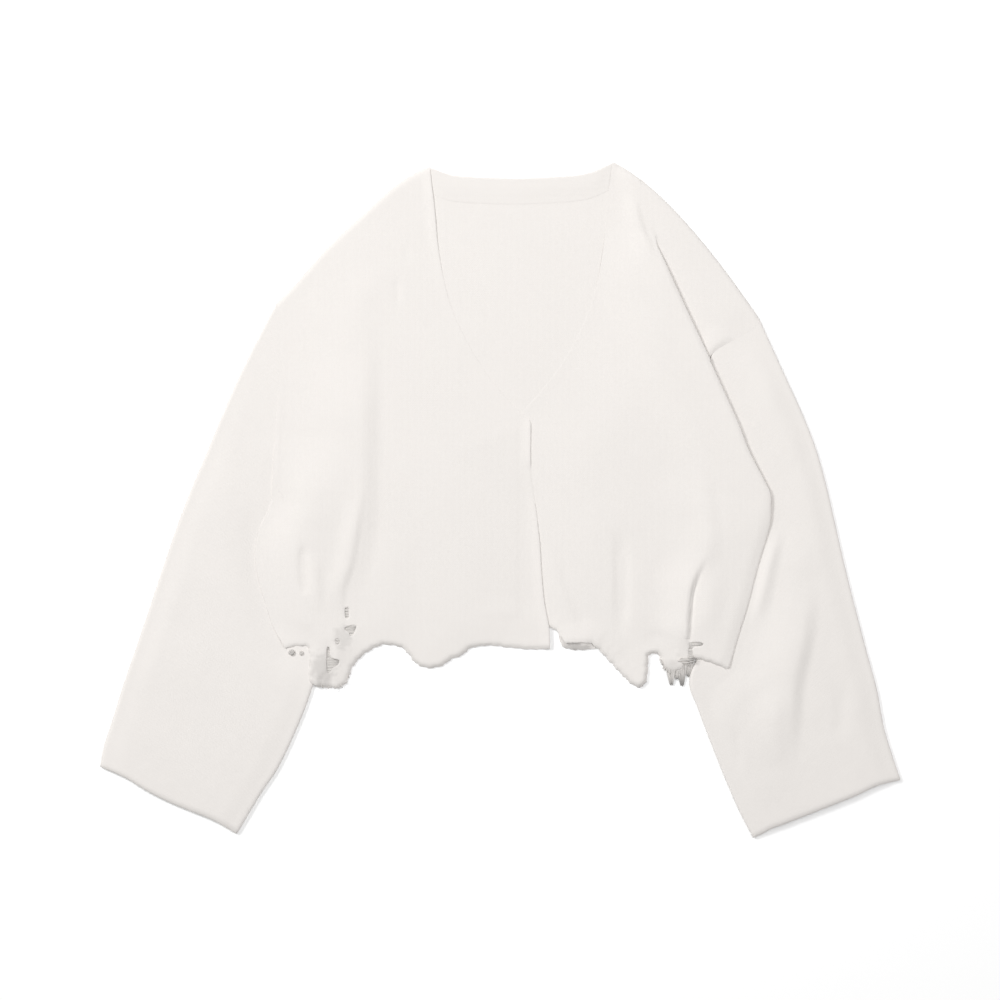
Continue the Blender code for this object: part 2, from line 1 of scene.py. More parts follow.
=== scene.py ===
"""The looks of a knit cardigan with a torn hem, laid flat on its back.

Each piece of cloth is a thin closed shell on the form of its solid, in finer cells: a body panel is a grid
stretched between its edges and cut along its torn hem, and a sleeve is a flattened tube. Tables are in
millimetres, with the wearer's right on the -X side, the neck towards +Y and the floor at z = 0. A pair of
numbers in front of ease()'s last value is where a rise or fall starts and ends.
"""

from functools import partial
from math import cos, hypot, pi, radians, sin, tau

import bmesh
import bpy
import numpy as np
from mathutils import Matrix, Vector
from numpy.linalg import norm


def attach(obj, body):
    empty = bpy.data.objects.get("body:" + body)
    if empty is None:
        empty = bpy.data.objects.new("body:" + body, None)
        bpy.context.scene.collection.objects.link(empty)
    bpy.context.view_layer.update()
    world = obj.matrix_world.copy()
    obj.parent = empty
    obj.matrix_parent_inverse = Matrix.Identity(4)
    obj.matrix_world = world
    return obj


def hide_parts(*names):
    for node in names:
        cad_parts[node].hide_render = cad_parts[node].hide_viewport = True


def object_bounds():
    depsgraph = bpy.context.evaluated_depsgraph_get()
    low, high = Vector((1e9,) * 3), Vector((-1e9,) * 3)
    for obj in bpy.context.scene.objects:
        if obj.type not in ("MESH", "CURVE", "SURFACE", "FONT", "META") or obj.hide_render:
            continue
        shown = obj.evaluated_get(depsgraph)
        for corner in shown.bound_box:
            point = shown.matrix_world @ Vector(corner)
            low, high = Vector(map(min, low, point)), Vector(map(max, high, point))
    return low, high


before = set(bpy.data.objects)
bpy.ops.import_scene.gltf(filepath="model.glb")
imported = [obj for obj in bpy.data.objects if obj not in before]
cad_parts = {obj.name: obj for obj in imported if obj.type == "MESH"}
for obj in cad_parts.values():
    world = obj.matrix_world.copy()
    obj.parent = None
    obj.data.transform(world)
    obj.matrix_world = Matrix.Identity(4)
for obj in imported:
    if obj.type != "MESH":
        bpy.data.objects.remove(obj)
CAD_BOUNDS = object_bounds()

MM = 0.001
TABLE_MIDDLE = (0.15, 0.25)  # middle of the tables' plan outline, which lies over the frame's origin

# Cloth and how the layers lie on each other
WALL = 2.0
LAYER_GAP = 0.6
FRONT_LEVEL = WALL + LAYER_GAP
SLEEVE_TUCK = (43.0, 95.0)  # a sleeve raises the body this far in from its side, and less up to the second
SLEEVE_LIFT = 4.0
TUCKED_FLAT = 0.3  # a sleeve is pressed flatter by this share where the body lies on it
FRONT_LOFT = 0.9
LOFT_RAMP = 80.0
LAP = (16.0, 60.0)  # where the lap of the right front over the left one ends, and the width of its ramp
EDGE_CALM = 9.0  # folds and waves rise over this distance from a panel's edge
SHOULDER_ROLL = (5.0, 2.5)  # radius and drop of the front's edge where it is rolled over the back's
SIDE_SLOPE = (42.0, 2.9)  # width and fall of the right front towards the side edge that lies on the sleeve
LOWER_PLEAT_ROLL = (10.0, 1.2)
SIDE_WALL = 0.5  # the fronts thin towards the side edges that lie on the sleeves
BACK_SIDE_WALL = 1.3
SHOULDER_INSET = 2.6  # the back's edge lies this far inside the rolled edge
SIDE_INSET = 26.0
BACK_CLIMB_Y = (62.0, 2.0)
RIGHT_FRONT_CLIMB_Y = (76.0, 8.0)
PLEAT_CLIMB_Y = (310.0, 235.0)
PLEAT_RAISE = 2.0  # extra height along the upper part of the pleat
SIDE_VALLEY = (17.0, 1.6)  # width and depth of the hollow in the right sleeve along the body's side
SEAM_RIDGE = (0.3, 4.0, 3.2)  # height of the seam allowance, its distance from the seam and its half width

# Where heights rise or fall, each as (from, to)
NECK_ENDS = ((0.26, 0.30), (0.60, 0.56))  # on the back's top edge, as shares of its length
BACK_FLOOR_X = (250, 200)
BACK_RISE_Y = (-128, -152)
BACK_THIN_Y = (40, 0)
BELOW_BACK_HEM_Y = (-158, -144)
LAP_TOP_Y = (140, 100)
SEAM_RIDGE_Y = ((-10, 30), (140, 90))
RIGHT_ON_SLEEVE_Y = ((70, 0), (-190, -160))
LEFT_ON_SLEEVE_Y = (20, -40)
UNDER_LAP_X = (70, 30)
UNDER_LAP_Y = (130, 90)
PLEAT_RAISE_Y = ((298, 250), (-60, 0))
PLEAT_RAISE_AWAY = (45, 0)
PLEAT_THIN_AWAY = (14, 0)
FOLD_START_Y = (290, 278)
FOLD_CLOSE_Y = (10, -50)
SHOULDER_PART_RISE = {"shoulder": (0, 22), "pleat": (4, 22), "seam": (0, 30)}
PUFF_RISE = {"seam": (6, 70), "body": (0, 50)}
SLEEVE_TOP_RISE = {"body": (0, 14), "edge": (3, 26)}
SIDE_VALLEY_Y = ((60, 5), (0, -50))

# Plan outline, as (x, y)
NECK_RIGHT = (-77.0, 366.0)
NECK_LEFT = (125.0, 371.5)
BACK_NECK = [
    NECK_RIGHT, (-58, 358.5), (-33, 355.2), (22, 353.7), (77, 356.3), (99, 360), (112, 365.2), NECK_LEFT,
]
SHOULDER_RIGHT = [
    NECK_RIGHT, (-88, 362.3), (-115, 345.5), (-153, 311.5), (-190, 276.5), (-223, 239), (-245, 216),
]
PLEAT_TOP = (150.0, 355.0)
SHOULDER_LEFT_INNER = [NECK_LEFT, (138, 364), PLEAT_TOP]
SHOULDER_LEFT_OUTER = [(154, 352), (177, 332.2), (207, 301), (242, 258.5), (278, 209), (285, 198)]
RIGHT_SIDE = [
    (-257, -16), (-265, -34), (-269, -58), (-267, -80), (-261, -103), (-254, -125), (-249, -140),
    (-236, -163),
]
BACK_LEFT_SIDE = [(268, -8), (280, -16), (282, -31), (268, -72), (256, -118), (238, -187)]
PLEAT_UPPER = [PLEAT_TOP, (158, 322), (165, 297), (176, 275), (201, 220)]
PLEAT_LOWER = [
    (262, 88), (275, 55), (293, 20), (299, 6), (299, -11), (297, -29), (284, -72), (272, -118), (265, -140),
    (251, -187),
]
RIGHT_NECK_EDGE = [
    NECK_RIGHT, (-74, 341), (-71, 313), (-67, 272), (-58, 228), (-45, 192), (-22, 150), (5, 114), (34, 86),
]
RIGHT_FRONT_EDGE = [
    (34, 86), (34, 36), (38, 2), (41, -22), (44, -50), (46, -82), (49, -113), (54, -140), (55, -164),
]
LEFT_NECK_EDGE = [
    NECK_LEFT, (120, 341), (117, 313), (113, 272), (104, 228), (91, 192), (68, 150), (40, 114), (14, 86),
]
LEFT_FRONT_EDGE = [(14, 86), (14, 36), (13, 2), (13, -50), (13, -96), (15, -122)]
LEFT_FRONT_CORNER = (20, -132)
SIDE_OUTLINES = {
    -1: RIGHT_SIDE + [(-250, 10), (-245, 216)],
    1: PLEAT_LOWER + [(232, 157)] + PLEAT_UPPER,
}
CUT_BELOW_Y = -214.0  # the panels' grids run down to here before their hems are cut
BEYOND = 600.0  # well outside the garment

# Sleeve cross-sections: ends of the flattened tube, bend towards the body, and height of the tube
SLEEVE_COLUMNS = ("outer_x", "outer_y", "inner_x", "inner_y", "bend", "height")
RIGHT_SLEEVE = [
    (-245, 216, -251, -12, 4, 4.6),
    (-265, 178, -257, -32, 2, 4.8),
    (-285, 138, -253, -60, 0, 5.0),
    (-305, 93, -244, -86, 0, 5.0),
    (-322, 52, -232, -110, 0, 5.0),
    (-338, 15, -220, -134, 0, 5.0),
    (-355, -29, -210, -162, 0, 5.0),
    (-374, -85, -204, -192, 0, 5.0),
    (-395, -148, -210, -218, 0, 5.2),
    (-412, -197, -226, -258, 0, 5.4),
    (-426, -242, -244, -295, 0, 5.6),
    (-435, -270, -262, -322, 0, 5.8),
    (-439.3, -293, -289, -367, 0, 6.0),
]
LEFT_SLEEVE = [
    (285, 198, 258, -22, 48, 4.6),
    (300, 165, 264, -40, 30, 4.8),
    (316, 130, 262, -66, 14, 5.0),
    (332, 95, 254, -92, 4, 5.0),
    (346.5, 58, 243, -117, 0, 5.0),
    (357.5, 20, 231, -141, 0, 5.0),
    (368, -25, 220, -167, 0, 5.0),
    (382, -85, 208, -200, 0, 5.0),
    (401, -159, 217, -228, 0, 5.2),
    (414, -207, 229, -260, 0, 5.4),
    (422, -250, 246, -303, 0, 5.6),
    (431, -280, 263, -342, 0, 5.8),
    (439.6, -306, 278, -371, 0, 6.0),
]
BEND_AT = 0.22
ARMHOLE_END_Y = {-1: -2.0, 1: -4.0}
CUFF_ROLL = (5.0, 2.4)
# How far a cuff lies out from the straight line between its corners, for each side, as (per cent of the way
# from the outer corner, mm)
CUFF_WAVES = {
    -1: [(0, 0), (17, -1.5), (33, 0.9), (48, 1.4), (62, 0.3), (82, -2.2), (100, 0)],
    1: [
        (0, 1.8), (7.5, -0.6), (16, -2.2), (30, -0.7), (50, -0.8), (78, -1.2), (87, -1.8), (94, 0),
        (100, 0.5),
    ],
}
CUFF_WAVE_REACH = 60.0
SLEEVE_STATIONS = 150
SLEEVE_TOP_CELLS = 76
SLEEVE_UNDER_CELLS = 30
SLEEVE_TURN = 86  # the point of a section at its inner end
# The rounded end of a section: how far in from it, in tube heights, and the level there
SLEEVE_END = [(0.0, 0.5), (0.06, 0.64), (0.2, 0.78), (0.45, 0.9), (0.8, 0.975), (1.25, 1.0)]
HEM_CORNER_Y = {-1: -165.0, 1: -187.0}  # where the body's side ends
PUFF = {-1: 1.2, 1: 2.4}  # how far the top of a sleeve stands above its solid, between its folded edges
DEEPEST_HOLLOW = 1.2

# The torn hems, as (x, y) from the wearer's right to the left
RIGHT_FRONT_HEM = [
    (-236, -163), (-228, -161), (-216, -160.5), (-211, -162), (-209.5, -174), (-208, -201), (-181, -207),
    (-169, -201), (-165, -191), (-161, -182), (-150, -170), (-136, -162), (-126, -159), (-109, -162),
    (-100, -170), (-92, -180), (-78, -185), (-63, -182), (-55, -176), (-42, -171), (-32, -163), (-12, -160),
    (8, -162), (30, -164), (55, -164),
]
LEFT_FRONT_HEM = [
    LEFT_FRONT_CORNER, (40, -136), (60, -142), (68, -152), (74, -157), (97, -157), (108, -164), (122, -179),
    (141, -199), (152, -206), (159.5, -202), (162.5, -191), (164, -171), (174, -170), (177, -179),
    (184, -189), (196, -189), (206, -180), (211, -174), (232, -179), (251, -187),
]
BACK_HEM = [
    (-244, -132), (-215, -134), (-180, -138), (-150, -146), (-112, -154), (-90, -160), (-62, -160),
    (-30, -150), (-5, -139), (30, -136), (60, -138), (68, -160), (84, -165), (101, -164), (115, -158),
    (140, -150), (165, -146), (200, -140), (230, -138), (262, -140),
]
BACK_HEM_RISE = (83.0, 22.0, 3.4, 9.0)  # middle x, half width, height and width of the roll
HEM_ROLL = (5.0, 2.6)  # the raw edge of the knit rolls down
HEM_DROOP = 28.0  # width over which a front comes down to its hem
TORN_WAVES = [(3.7, 0.55), (7.9, 0.5)]  # unevenness of torn loops along a hem: points to a wave, and height

# Along a front's hem: height of the underside, thickness of the raw edge and share of the roll
HEM_COLUMNS = ("x", "height", "wall", "roll")
RIGHT_HEM_EDGE = [
    (-236, 5.0, 0.6, 0.2), (-228, 5.2, 1.1, 0.6), (-208, 5.6, 1.1, 0.6), (-203, 5.6, 1.0, 0.5),
    (-196, 3.6, 1.1, 1), (-188, 1.2, 1.1, 1), (-181, 3.4, 1.1, 1), (-172, 2.8, 1.1, 1), (-130, 2.8, 1.1, 1),
    (0, 3.0, 1.1, 1), (30, 3.8, 1.1, 1), (55, 4.0, 1.1, 1),
]
LEFT_HEM_EDGE = [
    (20, 2.8, 1.1, 1), (58, 3.4, 1.1, 0.6), (70, 6.0, 1.1, 0), (94, 6.2, 1.1, 0), (110, 4.0, 1.1, 0.8),
    (124, 3.0, 1.1, 1), (154, 4.4, 1.1, 1.8), (166, 4.2, 1.1, 1.8), (190, 3.0, 1.1, 1), (200, 4.0, 1.1, 1),
    (210, 6.8, 1.1, 1), (251, 7.0, 1.1, 1),
]

# Rips, each as the corners of its uneven outline
RIGHT_FRONT_RIPS = [
    [(-169.8, -118), (-166.4, -118), (-166, -123), (-166.4, -129), (-169.4, -130), (-170, -124)],
    [(-171, -141), (-158.5, -137.5), (-160, -145), (-163.5, -151), (-166, -145)],
    [(-180.5, -153), (-176.5, -153), (-176, -157), (-179, -159)],
    [
        (-189.8, -163), (-187.2, -163), (-186, -173), (-177, -176), (-178, -181), (-184, -185), (-187, -191),
        (-189.8, -186),
    ],
]
LEFT_FRONT_RIPS = [
    [(208, -157), (221, -156.5), (222, -159.5), (210, -161)],
    [(207, -163), (210.5, -163), (211, -171), (207.5, -172)],
]
RIP_POINTS = 40

# Torn yarns. Across each rip: how far the yarns lie below the cloth, and how far along their painted shade
# they start
YARN_RADIUS = 0.55
YARN_SIDES = 6
RIGHT_LADDERS = [(0.8, 4.0), (0.8, 2.0), (0.4, 0.0), (1.0, 3.0)]
LEFT_LADDERS = [(0.7, 2.0), (0.5, 0.0)]
LADDER_RADIUS = 0.66
LADDER_SPACING = 1.05
LADDER_ROOT = 1.6  # how far a yarn reaches in under the cloth beside its rip
# Bunches of torn yarn: (first x, last x, y) of the roots, tip, width at the tip, and number of yarns
LEFT_LOCKS = [
    ((182, 193, -184), (188.5, -204), 3.4, 22),
    ((189, 202, -180), (195, -198), 5.0, 20),
    ((193, 206, -178), (200.5, -205), 3.4, 26),
    ((202, 213, -175), (207, -195), 3.4, 18),
]
LOCK_LEVELS = (4.6, 1.6)  # heights of a bunch's roots and tip
# Small knots of torn yarn on the right sleeve: (x, y), half size, and number of yarns
RIGHT_KNOTS = [((-228.5, -167.5), 3.6, 12), ((-218.0, -168.0), 2.6, 6)]
KNOT_LEVEL = 5.6
LEFT_BUNDLE = (197, 217, -173.5, 8.3)  # loose courses: first x, last x, y and z
BUNDLE_YARNS = 4
ENDS_SHADE_STRETCH = (9.0, 24.0)  # painted shade: the yarns darken over this stretch of their length towards their ends
ENDS_PAINTED_SHADE = 0.5

# Soft folds: a path in plan, how wide the fold is to the viewer's left and right of it (or one number), its
# height (below 0: a trough) and a sharpness above 1 that narrows it. With unlike widths it is a gentle rise
# with a steep drop beside it
FOLD_COLUMNS = ("path", "widths", "height", "sharp")
FOLD_POINTS = 40
FOLD_FADE = 0.37  # share of its length over which a fold fades at each end
RIGHT_FRONT_FOLDS = [
    (
        ((-130, 215), (-150, 176), (-153, 110), (-154, 32), (-158, -44), (-174, -100), (-177, -134)),
        (80, 25), 3.8, 1,
    ),
    (((-152, 20), (-164, -60), (-175, -98), (-176, -138)), (20, 8), 2.2, 1),
    (((-134, 262), (-156, 214), (-164, 150)), (30, 30), 0.8, 1),
    (((-214.5, -44), (-215, -76), (-213, -108)), (9, 7), -3.0, 1.2),
    (((-202, -52), (-202, -85), (-198, -125)), 9, 1.0, 1),
    (((-120, -30), (-118, -90), (-104, -150)), 30, 0.7, 1),
    (((-101, 285), (-102, 268), (-100, 255)), 7, -0.8, 1),
    (((-111, 250), (-113, 230), (-110, 206)), 8, -0.9, 1),
    (((-188, -150), (-187, -174), (-182, -206)), (20, 9), -2.6, 1),
]
LEFT_FRONT_FOLDS = [
    (((46, -30), (60, -88), (76, -130), (90, -172)), (36, 13), 2.4, 1),
    (((132, -25), (134, -90), (133, -155)), 13, -2.2, 1),
    (((156, -40), (158, -100), (152, -170)), 26, 0.8, 1),
    (((210, 46), (219, 10), (225, -22), (225, -50), (217, -75), (208, -94)), (70, 22), 2.6, 1),
    (((227, -54), (211.5, -86), (206, -110), (204, -150), (203.5, -182)), (46, 6), 4.6, 1),
    (((228, -66), (215, -92), (210.5, -110), (207.5, -146), (207, -178)), 3.6, -1.4, 1),
    (((178, -140), (172, -156), (160, -170)), 18, -1.0, 1),
    (((236, -70), (232, -110), (226, -150)), 18, 1.0, 1),
    (((138, 340), (147, 308), (157, 282), (171, 252)), (34, 15), 2.6, 1),
    (((202.5, -152.5), (206, -152.8), (210, -153.5)), 2.6, -1.4, 1),
]
SHOULDER_PART_FOLDS = [
    (((217, 148), (228.4, 158.8), (237.3, 169.9), (247, 175), (260, 183)), (24, 5.5), 1.4, 1),
]
SLEEVE_FOLDS = {
    -1: [
        (((-300, 60), (-296, -60), (-270, -180)), 30, 0.5, 1),
        (((-350, 10), (-370, -120), (-385, -230)), 34, 0.5, 1),
        (((-290, -240), (-300, -290), (-318, -330)), 26, 0.4, 1),
    ],
    1: [
        (((337, -80), (329, -150), (318.6, -198), (315, -242), (310, -300)), (50, 19), 4.4, 1),
        (((302, -20), (291.4, -66), (283.7, -110), (276, -142)), (9, 18), 3.4, 1),
        (((304, -205), (300, -250), (304, -300)), (30, 16), 1.2, 1),
        (((258, -245), (261, -272), (264, -297)), 9, -0.7, 1),
        (((374, -200), (375, -236), (373, -268)), 14, -0.9, 1),
    ],
}

# Gentle unevenness of each piece: (size of the waves, height, seed)
RIGHT_FRONT_WAVES = [(80, 0.16, 0.4), (17, 0.05, 2.2)]
LEFT_FRONT_WAVES = [(80, 0.16, 3.1), (17, 0.05, 0.9)]
SHOULDER_PART_WAVES = [(50, 0.15, 1.9)]
SLEEVE_WAVES = {-1: [(60, 0.3, 0.8), (16, 0.08, 1.8)], 1: [(60, 0.3, 2.6), (16, 0.08, 3.6)]}

# Along a front's free edge: (y, height of the step down from it)
RIGHT_EDGE_STEP = [
    (-170, 1.6), (-110, 1.6), (-40, 1.3), (-8, 0.6), (4, 0.05), (34, 0.05), (42, 1.2), (84, 1.3), (92, 0.2),
    (110, 0.05), (200, 0.05), (240, 0.25), (270, 0.7), (300, 1.3), (345, 1.5), (366, 0.8),
]
LEFT_EDGE_STEP = [(-170, 0.8), (70, 0.5), (100, 0.05), (366, 0.05)]
EDGE_CLEARANCE = 0.02
FREE_EDGE_RAMP = 95.0
PLAIN_STEP = 0.05
STEP_WIDTH = 12.0  # width over which a step higher than the plain one rises

# Neckband on the inside of the back neck
BAND_DEPTH = 29.0
BAND_INSET = 1.2
BAND_END = 0.4
BAND_WALL = 0.8
BAND_EDGE_WALL = 0.05
BAND_CELLS = 96
BAND_ROWS = 14

FOLD_DEPTH = 3.2  # how far the pleat's fold swings out and in
FOLD_REACH = 1.85  # the fold's outermost point is this many depths beyond the main part's edge
FOLD_CELLS = 14
FLAP_CELLS = 32
CELL = 2.6  # plan size of the cloth's cells, and of those near the hem
HEM_CELL = 1.9
BACK_CELL = 3.4
HEM_ZONE_Y = -96.0
TORN_CELL = 1.4
CURVE_STEPS = 12
RIM_ANGLES = (50, 0, -50)  # where round a rim its points are, in degrees
RIM_SHARE = 0.8  # how round a rim is, as a share of half the wall

# Knit: distance between wales and between courses, and how deep its stitches are, in metres
KNIT = (0.0026, 0.0019, 0.00035)
TORN_KNIT = (0.0009, 0.0011, 0.0003)
STITCH_SHADE = 0.94  # painted shade of the cloth in the hollows between the stitches
WOOL = (0.872, 0.836, 0.804)
# The torn yarn is darker than the cloth as painted shade for the rips and bunches of torn yarn
SHADED_TORN_WOOL = (0.76, 0.73, 0.70)

# Painted shade on the body's knit where it lies in shade: middle, half its size along x and y, and shade
PAINTED_SHADE_SPOTS = [
    ((-194.0, -186.0), (18.0, 22.0), 0.81),
    ((-173.0, -151.0), (12.0, 16.0), 0.86),
    ((83.5, -162.0), (19.0, 6.5), 0.76),
    ((186.0, -186.0), (14.0, 12.0), 0.90),
]

# Soft lights: name, place in metres, size and power
LIGHTS = [
    ("soft_key", (-2.4, 1.8, 2.6), 1.0, 87.0),
    ("soft_top", (0.6, 0.5, 2.8), 2.4, 48.0),
]
SKY_STRENGTH = 0.25
FLOOR_GLOW = 0.14
FLOOR_HALF_M = 6.0
FRAME_WIDTH_M = 1.1
LENS_MM = 85.0
SENSOR_MM = 36.0
CAMERA_SHIFT_M = (-0.0001, -0.0004)


# Plan curves and grids


def ease(low, high, value):
    """0 below low and 1 above high, with a smooth rise between. With low above high it falls instead."""
    t = np.clip((value - low) / (high - low), 0.0, 1.0)
    return t * t * (3 - 2 * t)


def within(spans, value):
    """The product of the rises and falls over several stretches."""
    return np.prod([ease(*span, value) for span in spans], axis=0)


def unit(vectors):
    return vectors / np.maximum(norm(vectors, axis=-1, keepdims=True), 1e-9)


def run_of(points):
    """How far along a line each of its points is."""
    return np.concatenate([[0], np.cumsum(norm(np.diff(np.array(points, float), axis=0), axis=1))])


def spaced(points, cells):
    """cells + 1 points evenly spaced along straight lines through the given ones."""
    run = run_of(points)
    at = np.linspace(0, run[-1], cells + 1)
    return np.stack([np.interp(at, run, column) for column in np.array(points, float).T], axis=1)


def curved(points, cells):
    """cells + 1 points evenly spaced along a smooth curve through the given ones."""
    p = np.array(points, float)
    p = np.vstack([2 * p[0] - p[1], p, 2 * p[-1] - p[-2]])
    dense = []
    for a, b, c, d in zip(p[:-3], p[1:-2], p[2:-1], p[3:]):
        for t in np.linspace(0, 1, CURVE_STEPS, endpoint=False):
            square = (2 * a - 5 * b + 4 * c - d) * t**2
            cube = (3 * b - a - 3 * c + d) * t**3
            dense.append(0.5 * (2 * b + (c - a) * t + square + cube))
    dense.append(p[-2])
    return spaced(dense, cells)


def cells_along(points, cell):
    return max(2, int(round(run_of(points)[-1] / cell)))


def joined(*lines):
    """Lines that share their end points, as one."""
    return np.vstack([lines[0]] + [line[1:] for line in lines[1:]])


def sideways(line):
    """Unit vectors to the left of a plan line's run."""
    along = unit(np.gradient(line, axis=0))
    return np.stack([-along[:, 1], along[:, 0]], axis=1)


def moved(line, amount):
    """A plan line moved to the left of its run."""
    return line + sideways(line) * np.reshape(amount, (-1, 1))


def patch(top, right, bottom, left):
    """A grid of plan points stretched between four edges, as [row][column]."""
    v = np.linspace(0, 1, len(left))[:, None, None]
    u = np.linspace(0, 1, len(top))[None, :, None]
    ruled = (1 - v) * top[None] + v * bottom[None] + (1 - u) * left[:, None] + u * right[:, None]
    corners = (1 - v) * ((1 - u) * top[0] + u * top[-1]) + v * ((1 - u) * bottom[0] + u * bottom[-1])
    return ruled - corners


def nearest_on(path, x, y):
    """Each point's distance from a line, the nearest place on it, and how far along the line that is."""
    px, py = x.ravel(), y.ravel()
    best = np.full(px.shape, 1e9)
    near = np.zeros((len(px), 2))
    run = np.zeros(len(px))
    passed = 0.0
    p = np.array(path, float)[:, :2]
    for a, b in zip(p[:-1], p[1:]):
        d = b - a
        t = np.clip(((px - a[0]) * d[0] + (py - a[1]) * d[1]) / max(d @ d, 1e-9), 0, 1)
        spot = a + t[:, None] * d
        away = np.hypot(px - spot[:, 0], py - spot[:, 1])
        closer = away < best
        best[closer] = away[closer]
        near[closer] = spot[closer]
        run[closer] = passed + t[closer] * hypot(*d)
        passed += hypot(*d)
    return best.reshape(x.shape), near.reshape(x.shape + (2,)), run.reshape(x.shape)


def away_from(path, x, y):
    return nearest_on(path, x, y)[0]


def inside(polygon, x, y):
    """Which points lie inside a closed outline."""
    p = np.array(polygon, float)
    odd = np.zeros(x.shape, bool)
    for a, b in zip(p, np.roll(p, -1, axis=0)):
        if a[1] != b[1]:
            crosses = (a[1] > y) != (b[1] > y)
            odd ^= crosses & (x < (b[0] - a[0]) * (y - a[1]) / (b[1] - a[1]) + a[0])
    return odd


# Heights


def unevenness(folds, waves, x, y):
    """The height that the folds and the waves of a piece add at each point."""
    total = fold_height(folds, x, y)
    for size, height, seed in waves:
        total = total + ripples(x, y, size, height, seed)
    return total


def ripples(x, y, size, height, seed):
    """Waves of about this size that cross each other, the same on every run."""
    total = np.zeros_like(x)
    for k in range(5):
        angle = seed + 2.4 * k
        wave = size * (0.7 + 0.25 * k)
        along = x * cos(angle) + y * sin(angle)
        across = y * cos(angle) - x * sin(angle)
        total += np.sin(tau * along / wave + 1.7 * seed * k + 0.8 * np.sin(tau * across / wave / 1.9))
    return height * total / 5


def fold_height(folds, x, y):
    total = np.zeros_like(x)
    for row in folds:
        fold = dict(zip(FOLD_COLUMNS, row))
        path = curved(fold["path"], FOLD_POINTS)
        away, near, run = nearest_on(path, x, y)
        left_width, right_width = np.broadcast_to(fold["widths"], 2)
        width = np.where(x < near[..., 0], left_width, right_width)
        across = 0.5 + 0.5 * np.cos(pi * np.clip(away / width, 0, 1))
        whole = run_of(path)[-1]
        along = ease(0, FOLD_FADE * whole, run) * ease(0, FOLD_FADE * whole, whole - run)
        total += fold["height"] * across ** fold["sharp"] * along
    return total


def along_table(table, at, column):
    """A column of a table looked up by its first one."""
    rows = sorted(table)
    return np.interp(at, [row[0] for row in rows], [row[column] for row in rows])


def x_at(line, y):
    """Where a plan line is at each height in plan."""
    return along_table([(v, u) for u, v in line], y, 1)


def lift(side, climb, x, y):
    """How far the sleeve tucked under that side raises the body at a point."""
    inward = side * (x_at(SIDE_OUTLINES[side], y) - x)
    return SLEEVE_LIFT * (1 - ease(*SLEEVE_TUCK, inward)) * ease(*climb, y)


def rolled_drop(away, roll):
    """How far a rolled edge curves down, at this distance inside it."""
    radius, drop = roll
    t = np.clip(1 - away / radius, 0, 1)
    return drop * (1 - np.sqrt(1 - t**2))


# Cloth


def cut_grid(top, right, left, hem, rips):
    """A panel's grid between its edges, cut along its torn hem and round its rips: its points, the kept
    cells and each point's distance from the hem."""
    top[0], top[-1] = left[0], right[0]
    grid = patch(top, right, spaced([left[-1], right[-1]], len(top) - 1), left)
    x, y = grid[..., 0].copy(), grid[..., 1].copy()
    outline = [(-BEYOND, hem[0][1])] + [tuple(p) for p in hem] + [(BEYOND, hem[-1][1])]
    centres = [0.25 * (v[:-1, :-1] + v[1:, :-1] + v[:-1, 1:] + v[1:, 1:]) for v in (x, y)]
    keep = inside(outline + [(BEYOND, BEYOND), (-BEYOND, BEYOND)], *centres)
    edges = [outline]
    for ring in rip_outlines(rips):
        keep &= ~inside(ring, *centres)
        edges.append(np.vstack([ring, ring[:1]]))
    for _ in range(3):
        keep = keep & (beside_sum(np.pad(keep, 1).astype(int)) >= 2)
    away, near = np.full(x.shape, 1e9), np.zeros(x.shape + (2,))
    for edge in edges:
        edge_away, edge_near, _ = nearest_on(edge, x, y)
        closer = edge_away < away
        away[closer] = edge_away[closer]
        near[closer] = edge_near[closer]
    touched = corners_of(keep)
    cut = touched & corners_of(~keep) & (away < 2.5 * CELL)
    x[cut], y[cut] = near[cut].T
    free = touched & ~cut & (away < 3 * CELL) & (beside_sum(np.pad(~touched, 1).astype(int)) == 0)
    free[[0, -1]] = False
    free[:, [0, -1]] = False
    for _ in range(3):
        for values in (x, y):
            mean = values.copy()
            mean[1:-1, 1:-1] = 0.25 * beside_sum(values)
            values[free] = 0.5 * values[free] + 0.5 * mean[free]
    return np.dstack([x, y]), keep, away_from(outline, x, y)


def beside_sum(values):
    """The sum of the four values beside each inner one."""
    return values[:-2, 1:-1] + values[2:, 1:-1] + values[1:-1, :-2] + values[1:-1, 2:]


def corners_of(cells):
    """Which grid points are corners of any of these cells."""
    p = np.pad(cells, 1)
    return p[1:, 1:] | p[:-1, 1:] | p[1:, :-1] | p[:-1, :-1]


def rip_outlines(rips):
    """Each rip as a smooth closed outline through its corners."""
    outlines = []
    for corners in rips:
        whole = curved(corners[-1:] + corners + corners[:2], RIP_POINTS * 3)
        away = norm(whole - corners[0], axis=1)
        start = int(np.argmin(away[:RIP_POINTS]))
        outlines.append(whole[start : RIP_POINTS + int(np.argmin(away[RIP_POINTS:]))])
    return outlines


def torn_line(hem, seed):
    """The hem as a fine line with the small unevenness of torn loops."""
    line = curved(hem, cells_along(hem, TORN_CELL))
    rough = np.zeros(len(line))
    for k, (wave, height) in enumerate(TORN_WAVES):
        rough += height * np.sin(tau * np.arange(len(line)) / wave + (k + 1) * seed)
    rough[[0, -1]] = 0
    return moved(line, rough)


def numbered(marks):
    """The number of each marked point in the order of the grid, and -1 at the others."""
    return np.where(marks, np.cumsum(marks).reshape(marks.shape) - 1, -1)


